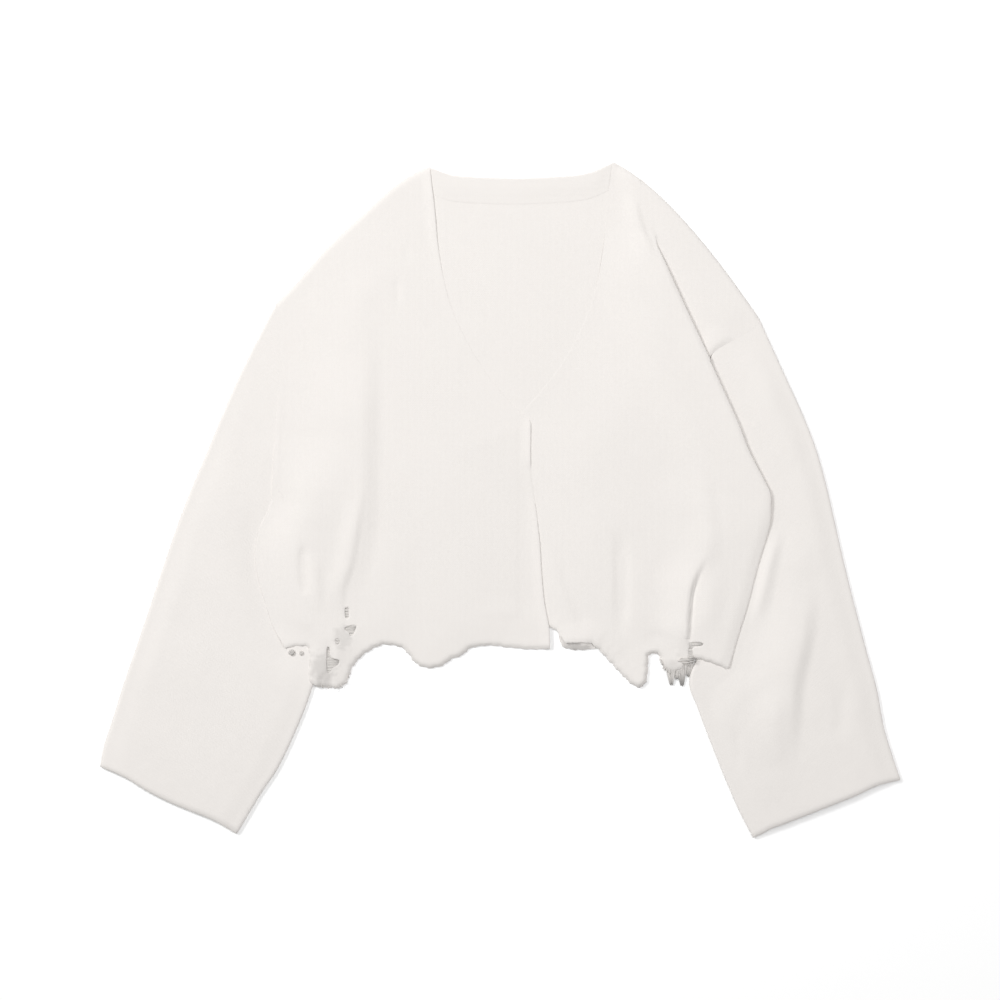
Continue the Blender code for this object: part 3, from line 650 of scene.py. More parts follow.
def closed_shell(name, mid, normal, keep, wall, uv, slot, node_name, flush=None):
    """Cloth round its middle, with rounded rims. flush marks the points where a rim meets a seam and isn't
    rounded. In a tube the last column of cells joins the first, and uv has one column more than mid."""
    rows, columns = mid.shape[:2]
    half = np.broadcast_to(np.asarray(wall, float) / 2, (rows, columns))[..., None]
    flush = np.zeros((rows, columns), bool) if flush is None else flush
    used = np.zeros((rows, columns), bool)
    outward = np.zeros(mid.shape)
    cells = [(int(i), int(j)) for i, j in zip(*np.nonzero(keep))]
    kept = set(cells)
    quads = []
    rims = []
    for i, j in cells:
        n = (j + 1) % columns
        ring = [(i, j), (i + 1, j), (i + 1, n), (i, n)]
        spots = [tuple(uv[i + a, j + b, :2]) for a, b in ((0, 0), (1, 0), (1, 1), (0, 1))]
        quads.append((ring, spots))
        centre = sum(mid[c] for c in ring) / 4
        for k, other in enumerate([(i, (j - 1) % columns), (i + 1, j), (i, n), (i - 1, j)]):
            used[ring[k]] = True
            if other in kept:
                continue
            m = (k + 1) % 4
            a, b = ring[k], ring[m]
            along = mid[b] - mid[a]
            out = (mid[a] + mid[b]) / 2 - centre
            out = unit(out - along * (out @ along) / max(along @ along, 1e-9))
            outward[a] += out
            outward[b] += out
            rims.append((a, b, spots[k], spots[m]))
    on_rim = norm(outward, axis=2) > 1e-6
    outward = unit(outward)
    outward -= normal * (outward * normal).sum(axis=2)[..., None]
    reach = np.where(flush[..., None], 0.0, RIM_SHARE * half)
    inner = np.where(on_rim[..., None], mid - outward * reach, mid)
    number, count = numbered(used), int(used.sum())
    rim_number, rim_count = numbered(on_rim), int(on_rim.sum())
    points = [(inner + normal * half)[used], (inner - normal * half)[used]]
    for angle in RIM_ANGLES:
        turn = radians(angle)
        points.append((inner + outward * reach * cos(turn) + normal * half * sin(turn))[on_rim])
    between = [2 * count + k * rim_count + rim_number for k in range(len(RIM_ANGLES))]
    levels = [number, *between, count + number]
    faces = []
    corner_uv = []
    flat = set()
    for ring, spots in quads:
        faces.append([number[c] for c in ring])
        faces.append([count + number[c] for c in ring[::-1]])
        corner_uv += spots + spots[::-1]
    for a, b, spot_a, spot_b in rims:
        for upper, lower in zip(levels[:-1], levels[1:]):
            if flush[a] and flush[b]:
                flat.add(len(faces))
            faces.append([upper[b], upper[a], lower[a], lower[b]])
            corner_uv += [spot_b, spot_a, spot_a, spot_b]
    points = np.vstack(points)
    points[:, 2] = np.maximum(points[:, 2], 0)
    return cloth_object(name, points, faces, corner_uv, slot, node_name, flat)


def linked(name, data):
    """A new object in the scene."""
    made = bpy.data.objects.new(name, data)
    bpy.context.scene.collection.objects.link(made)
    return made


def cloth_object(name, points, faces, corner_uv, slot, node_name, flat=()):
    """A piece in the frame's place that stands for the given node, smooth-shaded but for its flat faces."""
    mesh = bpy.data.meshes.new(name)
    placed = (points - np.array([*TABLE_MIDDLE, 0.0])) * MM + FRAME_MIDDLE
    mesh.from_pydata([tuple(p) for p in placed], [], [[int(v) for v in f] for f in faces])
    layer = mesh.uv_layers.new(name="cloth")
    layer.data.foreach_set("uv", (np.array(corner_uv, float) * MM).ravel())
    tool = bmesh.new()
    tool.from_mesh(mesh)
    bmesh.ops.recalc_face_normals(tool, faces=tool.faces)
    tool.to_mesh(mesh)
    tool.free()
    for face in mesh.polygons:
        face.use_smooth = face.index not in flat
    sharp = {key for index in flat for key in mesh.polygons[index].edge_keys}
    for edge in mesh.edges:
        edge.use_edge_sharp = edge.key in sharp
    mesh.materials.append(MATERIALS[slot])
    made = linked(name, mesh)
    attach(made, "root")
    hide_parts(node_name)
    return made


def mid_area(mid, keep):
    """Area of the kept cells in square metres."""
    a, b, c, d = mid[:-1, :-1], mid[1:, :-1], mid[1:, 1:], mid[:-1, 1:]
    area = 0.5 * (norm(np.cross(b - a, d - a), axis=2) + norm(np.cross(b - c, d - c), axis=2))
    return float(area[keep].sum() * MM * MM)


def panel(node_name, under, keep, wall, slot="body_knit", flush=None):
    """A shell of cloth over its underside."""
    mid = under.copy()
    mid[..., 2] += wall / 2
    normal = unit(np.cross(np.gradient(mid, axis=0), np.gradient(mid, axis=1)))
    if (normal[..., 2] < 0).mean() > 0.5:
        normal = -normal
    made = closed_shell(node_name + "_cloth", mid, normal, keep, wall, under, slot, node_name, flush)
    mid_area(under, keep)


# Materials


def fill(tree, made, inputs):
    """Sets a shader node's inputs: a number or colour is its value, and a socket is linked."""
    for key, value in inputs.items():
        if isinstance(value, bpy.types.NodeSocket):
            tree.links.new(value, made.inputs[key])
        else:
            made.inputs[key].default_value = value
    return made


def node(tree, kind, inputs):
    return fill(tree, tree.nodes.new(kind), inputs)


def calc(tree, operation, a, b=0.0):
    made = node(tree, "ShaderNodeMath", {0: a, 1: b})
    made.operation = operation
    return made.outputs[0]


def vector_calc(tree, operation, a, b=(0.0, 0.0, 0.0)):
    made = node(tree, "ShaderNodeVectorMath", {0: a, 1: b})
    made.operation = operation
    return made.outputs["Value" if operation == "LENGTH" else "Vector"]


def faded(tree, value, low, high, shade):
    """1 where the value is at low and the given shade at high, with a smooth change between."""
    made = node(tree, "ShaderNodeMapRange", {0: value, 1: low, 2: high, 3: 1.0, 4: shade})
    made.interpolation_type = "SMOOTHSTEP"
    return made.outputs[0]


def new_material(name):
    material = bpy.data.materials.new(name)
    material.use_nodes = True
    return material, material.node_tree, material.node_tree.nodes["Principled BSDF"]


def knit_material(name, colour=WOOL, knit=KNIT, turned=False, painted_shade_ends=False, spots=()):
    """A fine plain knit: rows of V stitches with painted shade in the hollows between them, and a soft nap.
    """
    material, tree, shader = new_material(name)
    plus, minus, times, over = (partial(calc, tree, k) for k in ("ADD", "SUBTRACT", "MULTIPLY", "DIVIDE"))
    place = node(tree, "ShaderNodeUVMap", {})
    place.uv_map = "cloth"
    place = place.outputs[0]

    def noise(scale, detail):
        made = node(tree, "ShaderNodeTexNoise", {"Vector": place, "Scale": scale, "Detail": detail})
        return made.outputs[0]

    wale, course, depth = knit
    across_place, along_place = node(tree, "ShaderNodeSeparateXYZ", {0: place}).outputs[:2]
    wander = times(minus(noise(90.0, 2.0), 0.5), 0.0016)
    u = over(plus(along_place if turned else across_place, wander), wale)
    v = over(plus(across_place if turned else along_place, wander), course)
    across = calc(tree, "ABSOLUTE", minus(calc(tree, "FRACT", u), 0.5))
    leg = calc(tree, "SINE", times(across, tau))
    loop = calc(tree, "COSINE", times(minus(v, times(across, 1.5)), tau))
    loop = plus(times(loop, 0.28), 0.72)
    stitch = times(calc(tree, "POWER", calc(tree, "ABSOLUTE", leg), 0.6), loop)
    height = plus(stitch, times(noise(1400.0, 3.0), 0.35))
    bump = node(tree, "ShaderNodeBump", {"Strength": 0.5, "Distance": depth, "Height": height})
    # Tone that differs at random, and painted shade in the hollows between the stitches
    light = plus(times(noise(14.0, 3.0), 0.03), STITCH_SHADE - 0.015)
    light = plus(light, times(stitch, 1.0 - STITCH_SHADE))
    # Painted shade: the yarns darken towards their ends, standing for the shade in rips and bunches of torn
    # yarn
    if painted_shade_ends:
        light = times(light, faded(tree, along_place, *(end * MM for end in ENDS_SHADE_STRETCH), ENDS_PAINTED_SHADE))
    ragged = noise(150.0, 2.0)
    # Painted shade: each spot darkens the knit where the cloth lies in shade
    for (x, y), (half_x, half_y), shade in spots:
        middle = vector_calc(tree, "SUBTRACT", place, (x * MM, y * MM, 0.0))
        away = vector_calc(tree, "DIVIDE", middle, (half_x * MM, half_y * MM, 1.0))
        away = vector_calc(tree, "LENGTH", away)
        light = times(light, faded(tree, plus(away, ragged), 1.6, 0.9, shade))
    grey = node(tree, "ShaderNodeCombineXYZ", {0: light, 1: light, 2: light})
    mixed = node(tree, "ShaderNodeMix", {})
    mixed.data_type = "RGBA"
    mixed.blend_type = "MULTIPLY"
    fill(tree, mixed, {0: 1.0, 6: (*colour, 1.0), 7: grey.outputs[0]})
    fill(tree, shader, {
        "Normal": bump.outputs[0],
        "Base Color": mixed.outputs[2],
        "Roughness": 0.92,
        "Specular IOR Level": 0.15,
        "Sheen Weight": 0.12,
        "Sheen Roughness": 0.6,
    })
    return material


def floor_material():
    material, tree, shader = new_material("studio_floor")
    fill(tree, shader, {
        "Base Color": (0.93, 0.93, 0.93, 1.0),
        "Roughness": 1.0,
        "Specular IOR Level": 0.0,
        "Emission Color": (1.0, 1.0, 1.0, 1.0),
        "Emission Strength": FLOOR_GLOW,
    })
    return material


# Pieces


def section_points(section, shares):
    """Plan points on a sleeve section, at shares of the way from its outer to its inner end."""
    outer = np.array([section["outer_x"], section["outer_y"]])
    inner = np.array([section["inner_x"], section["inner_y"]])
    along = (inner - outer) / norm(inner - outer)
    to_body = np.array([-along[1], along[0]])
    if outer[0] > 0:
        to_body = -to_body
    bent = np.where(shares < BEND_AT, shares / BEND_AT, (1 - shares) / (1 - BEND_AT))
    return outer + (inner - outer) * shares[:, None] + to_body * section["bend"] * ease(0, 1, bent)[:, None]


def armhole(side):
    """The body's edge along the armhole, in two stretches that meet at the seam's turn."""
    sleeve_table = RIGHT_SLEEVE if side < 0 else LEFT_SLEEVE
    line = section_points(dict(zip(SLEEVE_COLUMNS, sleeve_table[0])), np.linspace(0, 1, 101))
    turn = int(100 * BEND_AT)
    lower = line[turn:]
    return line[: turn + 1], lower[lower[:, 1] > ARMHOLE_END_Y[side]]


def right_side_line(inset=0.0):
    """The right side of the body from the shoulder to below the hem."""
    side = curved([RIGHT_ARMHOLE[-1]] + RIGHT_SIDE, 60)
    line = joined(RIGHT_ARMHOLE, side, spaced([RIGHT_SIDE[-1], (-233, CUT_BELOW_Y)], 6))
    return moved(line, inset * ease(30, -30, line[:, 1]))


def rows_between(line, top_cell, low_cell):
    """Shares of a side line's length, closer together below the hem zone's top."""
    length = run_of(line)[-1]
    at = np.linspace(0, length, 601)
    density = np.where(spaced(line, 600)[:, 1] > HEM_ZONE_Y, 1 / top_cell, 1 / low_cell)
    total = np.concatenate([[0], np.cumsum(0.5 * (density[1:] + density[:-1]) * np.diff(at))])
    wanted = np.linspace(0, total[-1], int(total[-1]) + 1)
    return np.interp(wanted, total, at) / length


def at_shares(line, shares):
    """Points at the given shares of a line's length."""
    run = np.linspace(0, 1, 2001)
    return np.stack([np.interp(shares, run, column) for column in spaced(line, 2000).T], axis=1)


def back():
    left = right_side_line(SIDE_INSET)
    seam = joined(*armhole(1))
    side = curved([seam[-1]] + BACK_LEFT_SIDE, 60)
    right = joined(seam, side, spaced([BACK_LEFT_SIDE[-1], (236, CUT_BELOW_Y)], 4))
    shares = rows_between(left, BACK_CELL, CELL)
    left, right = at_shares(left, shares), at_shares(right, shares)
    shoulder_left = curved(SHOULDER_LEFT_INNER + SHOULDER_LEFT_OUTER, 90)
    top = joined(curved(SHOULDER_RIGHT, 60)[::-1], curved(BACK_NECK, 60), shoulder_left)
    along = np.linspace(0, 1, len(top))
    top = moved(top, -SHOULDER_INSET * (1 - within(NECK_ENDS, along)))
    top = spaced(top, cells_along(top, BACK_CELL))
    grid, keep, away = cut_grid(top, right, left, torn_line(BACK_HEM, 0.7), [])
    x, y = grid[..., 0], grid[..., 1]
    z = np.maximum(lift(-1, BACK_CLIMB_Y, x, y), lift(1, BACK_CLIMB_Y, x, y))
    # It comes down to the floor along its hem, but not at its sides
    z *= 1 - ease(30, 0, away) * ease(*BACK_FLOOR_X, np.abs(x))
    # The hem is turned up a little under the left front and rolls down again at its edge
    middle_x, half_width, height, roll = BACK_HEM_RISE
    across = ease(half_width, 0.6 * half_width, np.abs(x - middle_x))
    z += height * across * ease(*BACK_RISE_Y, y) * ease(0, roll, away)
    wall = WALL - (WALL - BACK_SIDE_WALL) * ease(30, 0, away_from(left, x, y)) * ease(*BACK_THIN_Y, y)
    panel("back", np.dstack([grid, z]), keep, wall)


def back_neckband():
    """A band that follows the back neck between the two fronts."""
    upper = curved(BACK_NECK, BAND_CELLS)
    rows = []
    for drop in np.linspace(BAND_INSET, BAND_DEPTH, BAND_ROWS + 1):
        first, last = (x_at(edge, NECK_RIGHT[1] - drop) for edge in (RIGHT_NECK_EDGE, LEFT_NECK_EDGE))
        x = np.linspace(first + BAND_END, last - BAND_END, BAND_CELLS + 1)
        rows.append(np.stack([x, np.interp(x, upper[:, 0], upper[:, 1]) - drop], axis=1))
    grid = np.array(rows)
    x = grid[..., 0]
    share = np.linspace(0, 1, BAND_ROWS + 1)[:, None]
    z = WALL + EDGE_CLEARANCE + 0.1 * np.sin(pi * share) * np.ones_like(x)
    wall = BAND_WALL - (BAND_WALL - BAND_EDGE_WALL) * ease(0.3, 1.0, share) * np.ones_like(x)
    wall -= (wall - BAND_EDGE_WALL) * ease(16, 0, x[:, -1:] - x)
    keep = np.ones((BAND_ROWS, BAND_CELLS), bool)
    panel("back_neckband", np.dstack([grid, z]), keep, wall, slot="band_knit")


def eased_to_edge(under, edge, steps, x, y, share=1.0):
    """The front lowered and thinned towards its free edge, where it ends in a step of the given height."""
    away, near, _ = nearest_on(edge, x, y)
    closing = ease(FREE_EDGE_RAMP, 0, away) * share
    under = under + (WALL + EDGE_CLEARANCE - under) * closing
    step = np.maximum(along_table(steps, near[..., 1], 1) - PLAIN_STEP, 0)
    return under, WALL + (PLAIN_STEP - WALL) * closing + step * ease(STEP_WIDTH, 0, away)


def to_hem(under, hem, levels, x, y):
    """The front's underside brought to the given heights along its hem."""
    away, near, _ = nearest_on(hem, x, y)
    level = along_table(levels, near[..., 0], HEM_COLUMNS.index("height"))
    return under + (level - under) * ease(HEM_DROOP, 0, away)


def at_raw_edge(under, wall, away, levels, x):
    """The raw edge of the knit: thinner and rolled down."""
    edge_wall, roll = (along_table(levels, x, HEM_COLUMNS.index(column)) for column in ("wall", "roll"))
    rolled = np.maximum(under - rolled_drop(away, HEM_ROLL) * roll, 0.1)
    return rolled, wall - np.maximum(wall - edge_wall, 0) * ease(HEM_ROLL[0], 0, away)


def right_front_under(x, y):
    """Height of the right front's underside, and its thickness."""
    lines = (RIGHT_SHOULDER, RIGHT_SIDE_EDGE, RIGHT_ARMHOLE)
    shoulder, side, seam = (away_from(line, x, y) for line in lines)
    folded = np.minimum(np.minimum(shoulder, side), seam)
    loft = FRONT_LOFT * ease(0, LOFT_RAMP, folded)
    uneven = unevenness(RIGHT_FRONT_FOLDS, RIGHT_FRONT_WAVES, x, y) * ease(0, EDGE_CALM, folded)
    # Below the back's hem its folds may reach down to the floor
    lowest = 0.2 + (FRONT_LEVEL - LAYER_GAP) * ease(*BELOW_BACK_HEM_Y, y)
    under = np.maximum(lowest, FRONT_LEVEL + loft + uneven)
    under, wall = eased_to_edge(under, RIGHT_FREE_EDGE, RIGHT_EDGE_STEP, x, y)
    lap_x, lap_ramp = LAP
    over_left, over_wall = left_front_under(np.maximum(x, lap_x), y)
    lap = (over_left + over_wall - WALL) * ease(lap_x - lap_ramp, lap_x, x) * ease(*LAP_TOP_Y, y)
    under += lift(-1, RIGHT_FRONT_CLIMB_Y, x, y) + lap
    # The seam allowance shows along the lower part of the armhole
    height, middle, half_width = SEAM_RIDGE
    ridge = height * np.exp(-(((seam - middle) / half_width) ** 2))
    under += ridge * within(SEAM_RIDGE_Y, y)
    on_sleeve = within(RIGHT_ON_SLEEVE_Y, y)
    width, fall = SIDE_SLOPE
    under -= rolled_drop(shoulder, SHOULDER_ROLL) + fall * ease(width, 0, side) * on_sleeve
    wall -= (wall - SIDE_WALL) * ease(width, 0, side) * on_sleeve
    return to_hem(under, RIGHT_HEM_LINE, RIGHT_HEM_EDGE, x, y), wall


def left_front_under(x, y):
    """Height of the underside of the left front's main part, and its thickness."""
    pleat, shoulder = (away_from(line, x, y) for line in (PLEAT_LINE, LEFT_SHOULDER))
    loft = FRONT_LOFT * ease(0, 1, np.minimum(pleat, shoulder) / (30 + 30 * ease(290, 200, y)))
    under_lap = ease(*UNDER_LAP_X, x) * ease(*UNDER_LAP_Y, y)  # pressed flat by the right front
    loft *= 1 - 0.9 * under_lap
    uneven = unevenness(LEFT_FRONT_FOLDS, LEFT_FRONT_WAVES, x, y) * ease(0, EDGE_CALM, pleat)
    under = np.maximum(FRONT_LEVEL - LAYER_GAP + 0.1, FRONT_LEVEL + loft + uneven * (1 - under_lap))
    under, wall = eased_to_edge(under, LEFT_FREE_EDGE, LEFT_EDGE_STEP, x, y, ease(0, 27, pleat))
    under += PLEAT_RAISE * within(PLEAT_RAISE_Y, y) * ease(*PLEAT_RAISE_AWAY, pleat)
    on_sleeve = ease(*LEFT_ON_SLEEVE_Y, y)
    under += lift(1, PLEAT_CLIMB_Y, x, y) - rolled_drop(pleat, LOWER_PLEAT_ROLL) * on_sleeve
    wall -= (wall - SIDE_WALL) * ease(*PLEAT_THIN_AWAY, pleat) * on_sleeve
    under = to_hem(under, LEFT_HEM_LINE, LEFT_HEM_EDGE, x, y)
    return under - rolled_drop(shoulder, SHOULDER_ROLL), wall


def right_front():
    left = right_side_line()
    shares = rows_between(left, CELL, HEM_CELL)
    left = at_shares(left, shares)
    low = spaced([RIGHT_FRONT_EDGE[-1], (57, CUT_BELOW_Y)], 6)
    right = at_shares(joined(curved(RIGHT_NECK_EDGE, 200), curved(RIGHT_FRONT_EDGE, 200), low), shares)
    top = curved(SHOULDER_RIGHT, 118)[::-1]
    grid, keep, away = cut_grid(top, right, left, RIGHT_HEM_LINE, RIGHT_FRONT_RIPS)
    x, y = grid[..., 0], grid[..., 1]
    z, wall = at_raw_edge(*right_front_under(x, y), away, RIGHT_HEM_EDGE, x)
    flush = np.zeros(x.shape, bool)
    flush[:, 0] = (y[:, 0] > -2) & (y[:, 0] < 214)
    panel("right_front", np.dstack([grid, z]), keep, wall, flush=flush)


def left_front():
    """The main part of the left front, the fold of its pleat and the shoulder part beyond it."""
    upper, _ = armhole(1)
    edge = joined(PLEAT_LINE, spaced([PLEAT_LOWER[-1], (249, CUT_BELOW_Y)], 4))
    shares = rows_between(edge, CELL, HEM_CELL)
    edge = at_shares(edge, shares)
    corner_row = int(np.argmin(norm(edge - upper[-1], axis=1)))
    low = spaced([LEFT_FRONT_CORNER, (LEFT_FRONT_CORNER[0], CUT_BELOW_Y)], 8)
    centre = joined(curved(LEFT_NECK_EDGE, 200), curved(LEFT_FRONT_EDGE + [LEFT_FRONT_CORNER], 200), low)
    centre = at_shares(centre, shares)
    depth = FOLD_DEPTH * ease(*FOLD_START_Y, edge[:, 1]) * (1 - 0.8 * ease(*FOLD_CLOSE_Y, edge[:, 1]))
    main_edge = moved(edge, -FOLD_REACH * depth)
    top = curved(SHOULDER_LEFT_INNER, 100)
    grid, keep, away = cut_grid(top, main_edge, centre, LEFT_HEM_LINE, LEFT_FRONT_RIPS)
    x, y = grid[..., 0], grid[..., 1]
    z, main_wall = at_raw_edge(*left_front_under(x, y), away, LEFT_HEM_EDGE, x)
    main = np.dstack([grid, z])
    fold = pleat_fold(main[:, -1], main_edge, depth, corner_row)
    flap = np.empty((len(main), FLAP_CELLS, 3))
    flap[: corner_row + 1] = shoulder_part(fold[: corner_row + 1, -1], upper)
    flap[corner_row + 1 :] = flap[corner_row]
    full = np.concatenate([main, fold, flap], axis=1)
    wall = np.full(full.shape[:2], WALL)
    wall[:, : main.shape[1]] = main_wall
    wall[corner_row + 1 :, main.shape[1] :] = main_wall[corner_row + 1 :, -1:]
    flap_keep = np.zeros((len(keep), FLAP_CELLS), bool)
    flap_keep[:corner_row] = True
    keep = np.concatenate([keep, np.repeat(keep[:, -1:], FOLD_CELLS, axis=1), flap_keep], axis=1)
    flush = np.zeros(full.shape[:2], bool)
    flush[corner_row, main.shape[1] + 2 :] = True
    panel("left_front", full, keep, wall, flush=flush)


def pleat_fold(main_edge, plan_edge, depth, corner_row):
    """The fold at the main part's edge, round and under. Above the armhole it turns back out again."""
    down = (np.array(SHOULDER_LEFT_OUTER[0]) - PLEAT_TOP) / 5
    share = ease(300, 350, plan_edge[:, 1])[:, None]
    out = sideways(plan_edge) * (1 - share) + down * share
    whole = np.arange(len(plan_edge)) <= corner_row
    last = np.where(whole, 1.0, 0.6)
    low = np.minimum(np.where(whole, FRONT_LEVEL, FRONT_LEVEL + 0.4), main_edge[:, 2])
    p = last[:, None] * np.arange(1, FOLD_CELLS + 1) / FOLD_CELLS
    swing = depth[:, None] * np.sin(tau * p) + np.where(whole, 4.0, 0.0)[:, None] * p
    sink = (low - main_edge[:, 2])[:, None] * p
    return main_edge[:, None] + np.dstack([out[:, None] * swing[..., None], sink])


def shoulder_part(inner, armhole_line):
    """The part of the left front between the pleat, the shoulder and the armhole seam."""
    shoulder = spaced(curved(SHOULDER_LEFT_OUTER, 200), len(inner) - 1)
    shoulder[-1] = armhole_line[0]
    seam_line = spaced(armhole_line[::-1], FLAP_CELLS)
    share = np.arange(1, FLAP_CELLS + 1)[:, None] / FLAP_CELLS
    plan = inner[:, None, :2] + (shoulder - inner[:, :2])[:, None] * share
    target = seam_line[1:] + (inner[-1, :2] - seam_line[0]) * (1 - share)
    plan += np.linspace(0, 1, len(inner))[:, None, None] ** 2 * (target - plan[-1])
    x, y = plan[..., 0], plan[..., 1]
    lines = (curved(SHOULDER_LEFT_OUTER, 60), PLEAT_LINE, armhole_line)
    folded, pleat, seam = (away_from(line, x, y) for line in lines)
    rise = SHOULDER_PART_RISE
    swell = 0.6 * ease(*rise["shoulder"], folded) + unevenness([], SHOULDER_PART_WAVES, x, y)
    z = FRONT_LEVEL + np.maximum(swell, 0) * ease(*rise["pleat"], pleat) * ease(*rise["seam"], seam)
    z += fold_height(SHOULDER_PART_FOLDS, x, y) * ease(0, 4, seam)
    return np.dstack([plan, z - rolled_drop(folded, SHOULDER_ROLL)])


def sleeve_profile():
    """All round a flattened tube: the shift from one of its ends in tube heights, the share of the way from
    the outer end to the inner one, and the level from 0 to 1."""
    top = [(0.0, s, 1.0) for s in np.linspace(0, 1, SLEEVE_TOP_CELLS + 1)[1:-1]]
    under = [(0.0, s, 0.0) for s in np.linspace(1, 0, SLEEVE_UNDER_CELLS + 1)[1:-1]]
    outer = [(a, 0.0, z) for a, z in SLEEVE_END]
    inner = [(-a, 1.0, z) for a, z in SLEEVE_END[::-1]]
    inner_under = [(-a, 1.0, 1 - z) for a, z in SLEEVE_END[1:]]
    outer_under = [(a, 0.0, 1 - z) for a, z in SLEEVE_END[:0:-1]]
    return np.array(outer + top + inner + inner_under + under + outer_under)


def sleeve(node_name, sections, side):
    """A flattened tube through the sections, open at the armhole and the cuff."""
    table = curved(sections, SLEEVE_STATIONS)
    shift, share, level = sleeve_profile().T
    between = (share > 0) & (share < 1)
    half = WALL / 2
    mid = np.zeros((len(table), len(share), 3))
    for ring, row in zip(mid, table):
        section = dict(zip(SLEEVE_COLUMNS, row))
        length = norm(row[2:4] - row[:2])
        height = section["height"] - WALL
        start = (half + SLEEVE_END[-1][0] * height) / length
        shares = (half + shift * height + share * (length - WALL)) / length
        shares[between] = start + share[between] * (1 - 2 * start)
        ring[:, :2] = section_points(section, shares)
        ring[:, 2] = half + level * height
    mid[..., :2] = with_uneven_cuff(mid[..., :2], CUFF_WAVES[side])
    x, y = mid[..., 0], mid[..., 1]
    hem_y = HEM_CORNER_Y[side]
    beside = side * (x - x_at(SIDE_OUTLINES[side], y))
    outside = beside + np.maximum(0, hem_y - y)
    rim = np.minimum(*[away_from(mid[:, k, :2], x, y) for k in (0, SLEEVE_TURN)])
    seam, cuff = (away_from(mid[row, :SLEEVE_TURN, :2], x, y) for row in (0, -1))
    puff = PUFF[side] * ease(*PUFF_RISE["seam"], seam) * ease(*PUFF_RISE["body"], outside)
    uneven = unevenness(SLEEVE_FOLDS[side], SLEEVE_WAVES[side], x, y)
    top = np.maximum(puff + uneven, -DEEPEST_HOLLOW)
    top *= ease(*SLEEVE_TOP_RISE["body"], outside) * ease(*SLEEVE_TOP_RISE["edge"], rim)
    if side < 0:
        width, depth = SIDE_VALLEY
        along = sum(ease(*span, y) for span in SIDE_VALLEY_Y) / 2
        top -= depth * np.exp(-((away_from(RIGHT_SIDE_EDGE, x, y) / width) ** 2)) * along
    mid[..., 2] += np.where(level == 1.0, top, 0.0)
    pressed = TUCKED_FLAT * ease(0, -14, beside) * ease(hem_y + 12, hem_y + 34, y) * ease(4, 30, seam)
    mid[..., 2] = half + (mid[..., 2] - half) * (1 - pressed)
    mid[..., 2] -= rolled_drop(cuff, CUFF_ROLL) * np.maximum(level - 0.5, 0) * 2
    around = np.roll(mid, -1, axis=1) - np.roll(mid, 1, axis=1)
    normal = unit(np.cross(around, np.gradient(mid, axis=0)))
    if ((mid - mid.mean(axis=1, keepdims=True)) * normal).sum() < 0:
        normal = -normal
    keep = np.ones((len(table) - 1, len(share)), bool)
    flush = np.zeros(mid.shape[:2], bool)
    flush[0] = True
    uv = sleeve_uv(mid[..., :2])
    made = closed_shell(node_name + "_cloth", mid, normal, keep, WALL, uv, "sleeve_knit", node_name, flush)
    length = round(float(run_of(mid[:, len(share) // 4, :2])[-1]) * MM, 3)
    area = mid_area(np.concatenate([mid, mid[:, :1]], axis=1), keep)


def with_uneven_cuff(plan, wave):
    """A sleeve's plan points with the cuff moved in or out along the wave, and less so further up."""
    outer, inner = plan[-1, 0], plan[-1, SLEEVE_TURN]
    width = norm(inner - outer)
    across = (inner - outer) / width
    out = np.array([across[1], -across[0]])
    if (plan[-1].mean(axis=0) - plan[0].mean(axis=0)) @ out < 0:
        out = -out
    points = curved(wave, 60)
    shift = np.interp(100 * ((plan - outer) @ across) / width, points[:, 0], points[:, 1])
    return plan + out * (shift * ease(CUFF_WAVE_REACH, 0, (outer - plan) @ out))[..., None]


def sleeve_uv(plan):
    """Cloth coordinates straight along and across the sleeve on its top, and mirrored underneath."""
    axis = unit(plan[-1].mean(axis=0) - plan[0].mean(axis=0))
    uv = np.dstack([plan @ np.array([-axis[1], axis[0]]), plan @ axis])
    uv = np.concatenate([uv, uv[:, :1]], axis=1)
    turn = uv[:, SLEEVE_TURN, 0][:, None]
    uv[:, SLEEVE_TURN + 1 :, 0] = 2 * turn - uv[:, SLEEVE_TURN + 1 :, 0]
    return uv


# Yarns, each as (path, radius, where its cloth coordinates start, so that the material can paint shade
# towards its end)


def yarn_group(name, yarns, node_name):
    """Loose yarns as one piece: each is a thin tube along a smooth curve through its points."""
    rings = []
    faces = []
    corner_uv = []
    first = 0
    turns = tau * np.arange(YARN_SIDES)[:, None] / YARN_SIDES
    for path, radius, start in yarns:
        line = curved(path, max(6, cells_along(path, 1.3)))
        along = unit(np.gradient(line, axis=0))
        side = unit(np.cross(along, np.array([0.0, 0.0, 1.0])))
        up = np.cross(side, along)
        run = start + run_of(line)
        slim = radius * (1 - 0.45 * ease(0.7, 1.0, np.linspace(0, 1, len(line))))
        for r in range(len(line)):
            rings.append(line[r] + slim[r] * (np.cos(turns) * side[r] + np.sin(turns) * up[r]))
        for r in range(len(line) - 1):
            for k in range(YARN_SIDES):
                n = (k + 1) % YARN_SIDES
                a, b = first + r * YARN_SIDES, first + (r + 1) * YARN_SIDES
                faces.append([a + k, a + n, b + n, b + k])
                around = [k, k + 1, k + 1, k]
                corner_uv += [(0.5 * s, run[r + q]) for s, q in zip(around, (0, 0, 1, 1))]
        for r in (0, len(line) - 1):
            faces.append([first + r * YARN_SIDES + k for k in range(YARN_SIDES)])
            corner_uv += [(0.0, run[r])] * YARN_SIDES
        first += len(line) * YARN_SIDES
    cloth_object(name, np.vstack(rings), faces, corner_uv, "torn_yarn", node_name)


def surface_at(level, x, y):
    """Height of the top of a front at one point."""
    under, wall = level(np.array([[float(x)]]), np.array([[float(y)]]))
    return float(under[0, 0] + wall[0, 0])


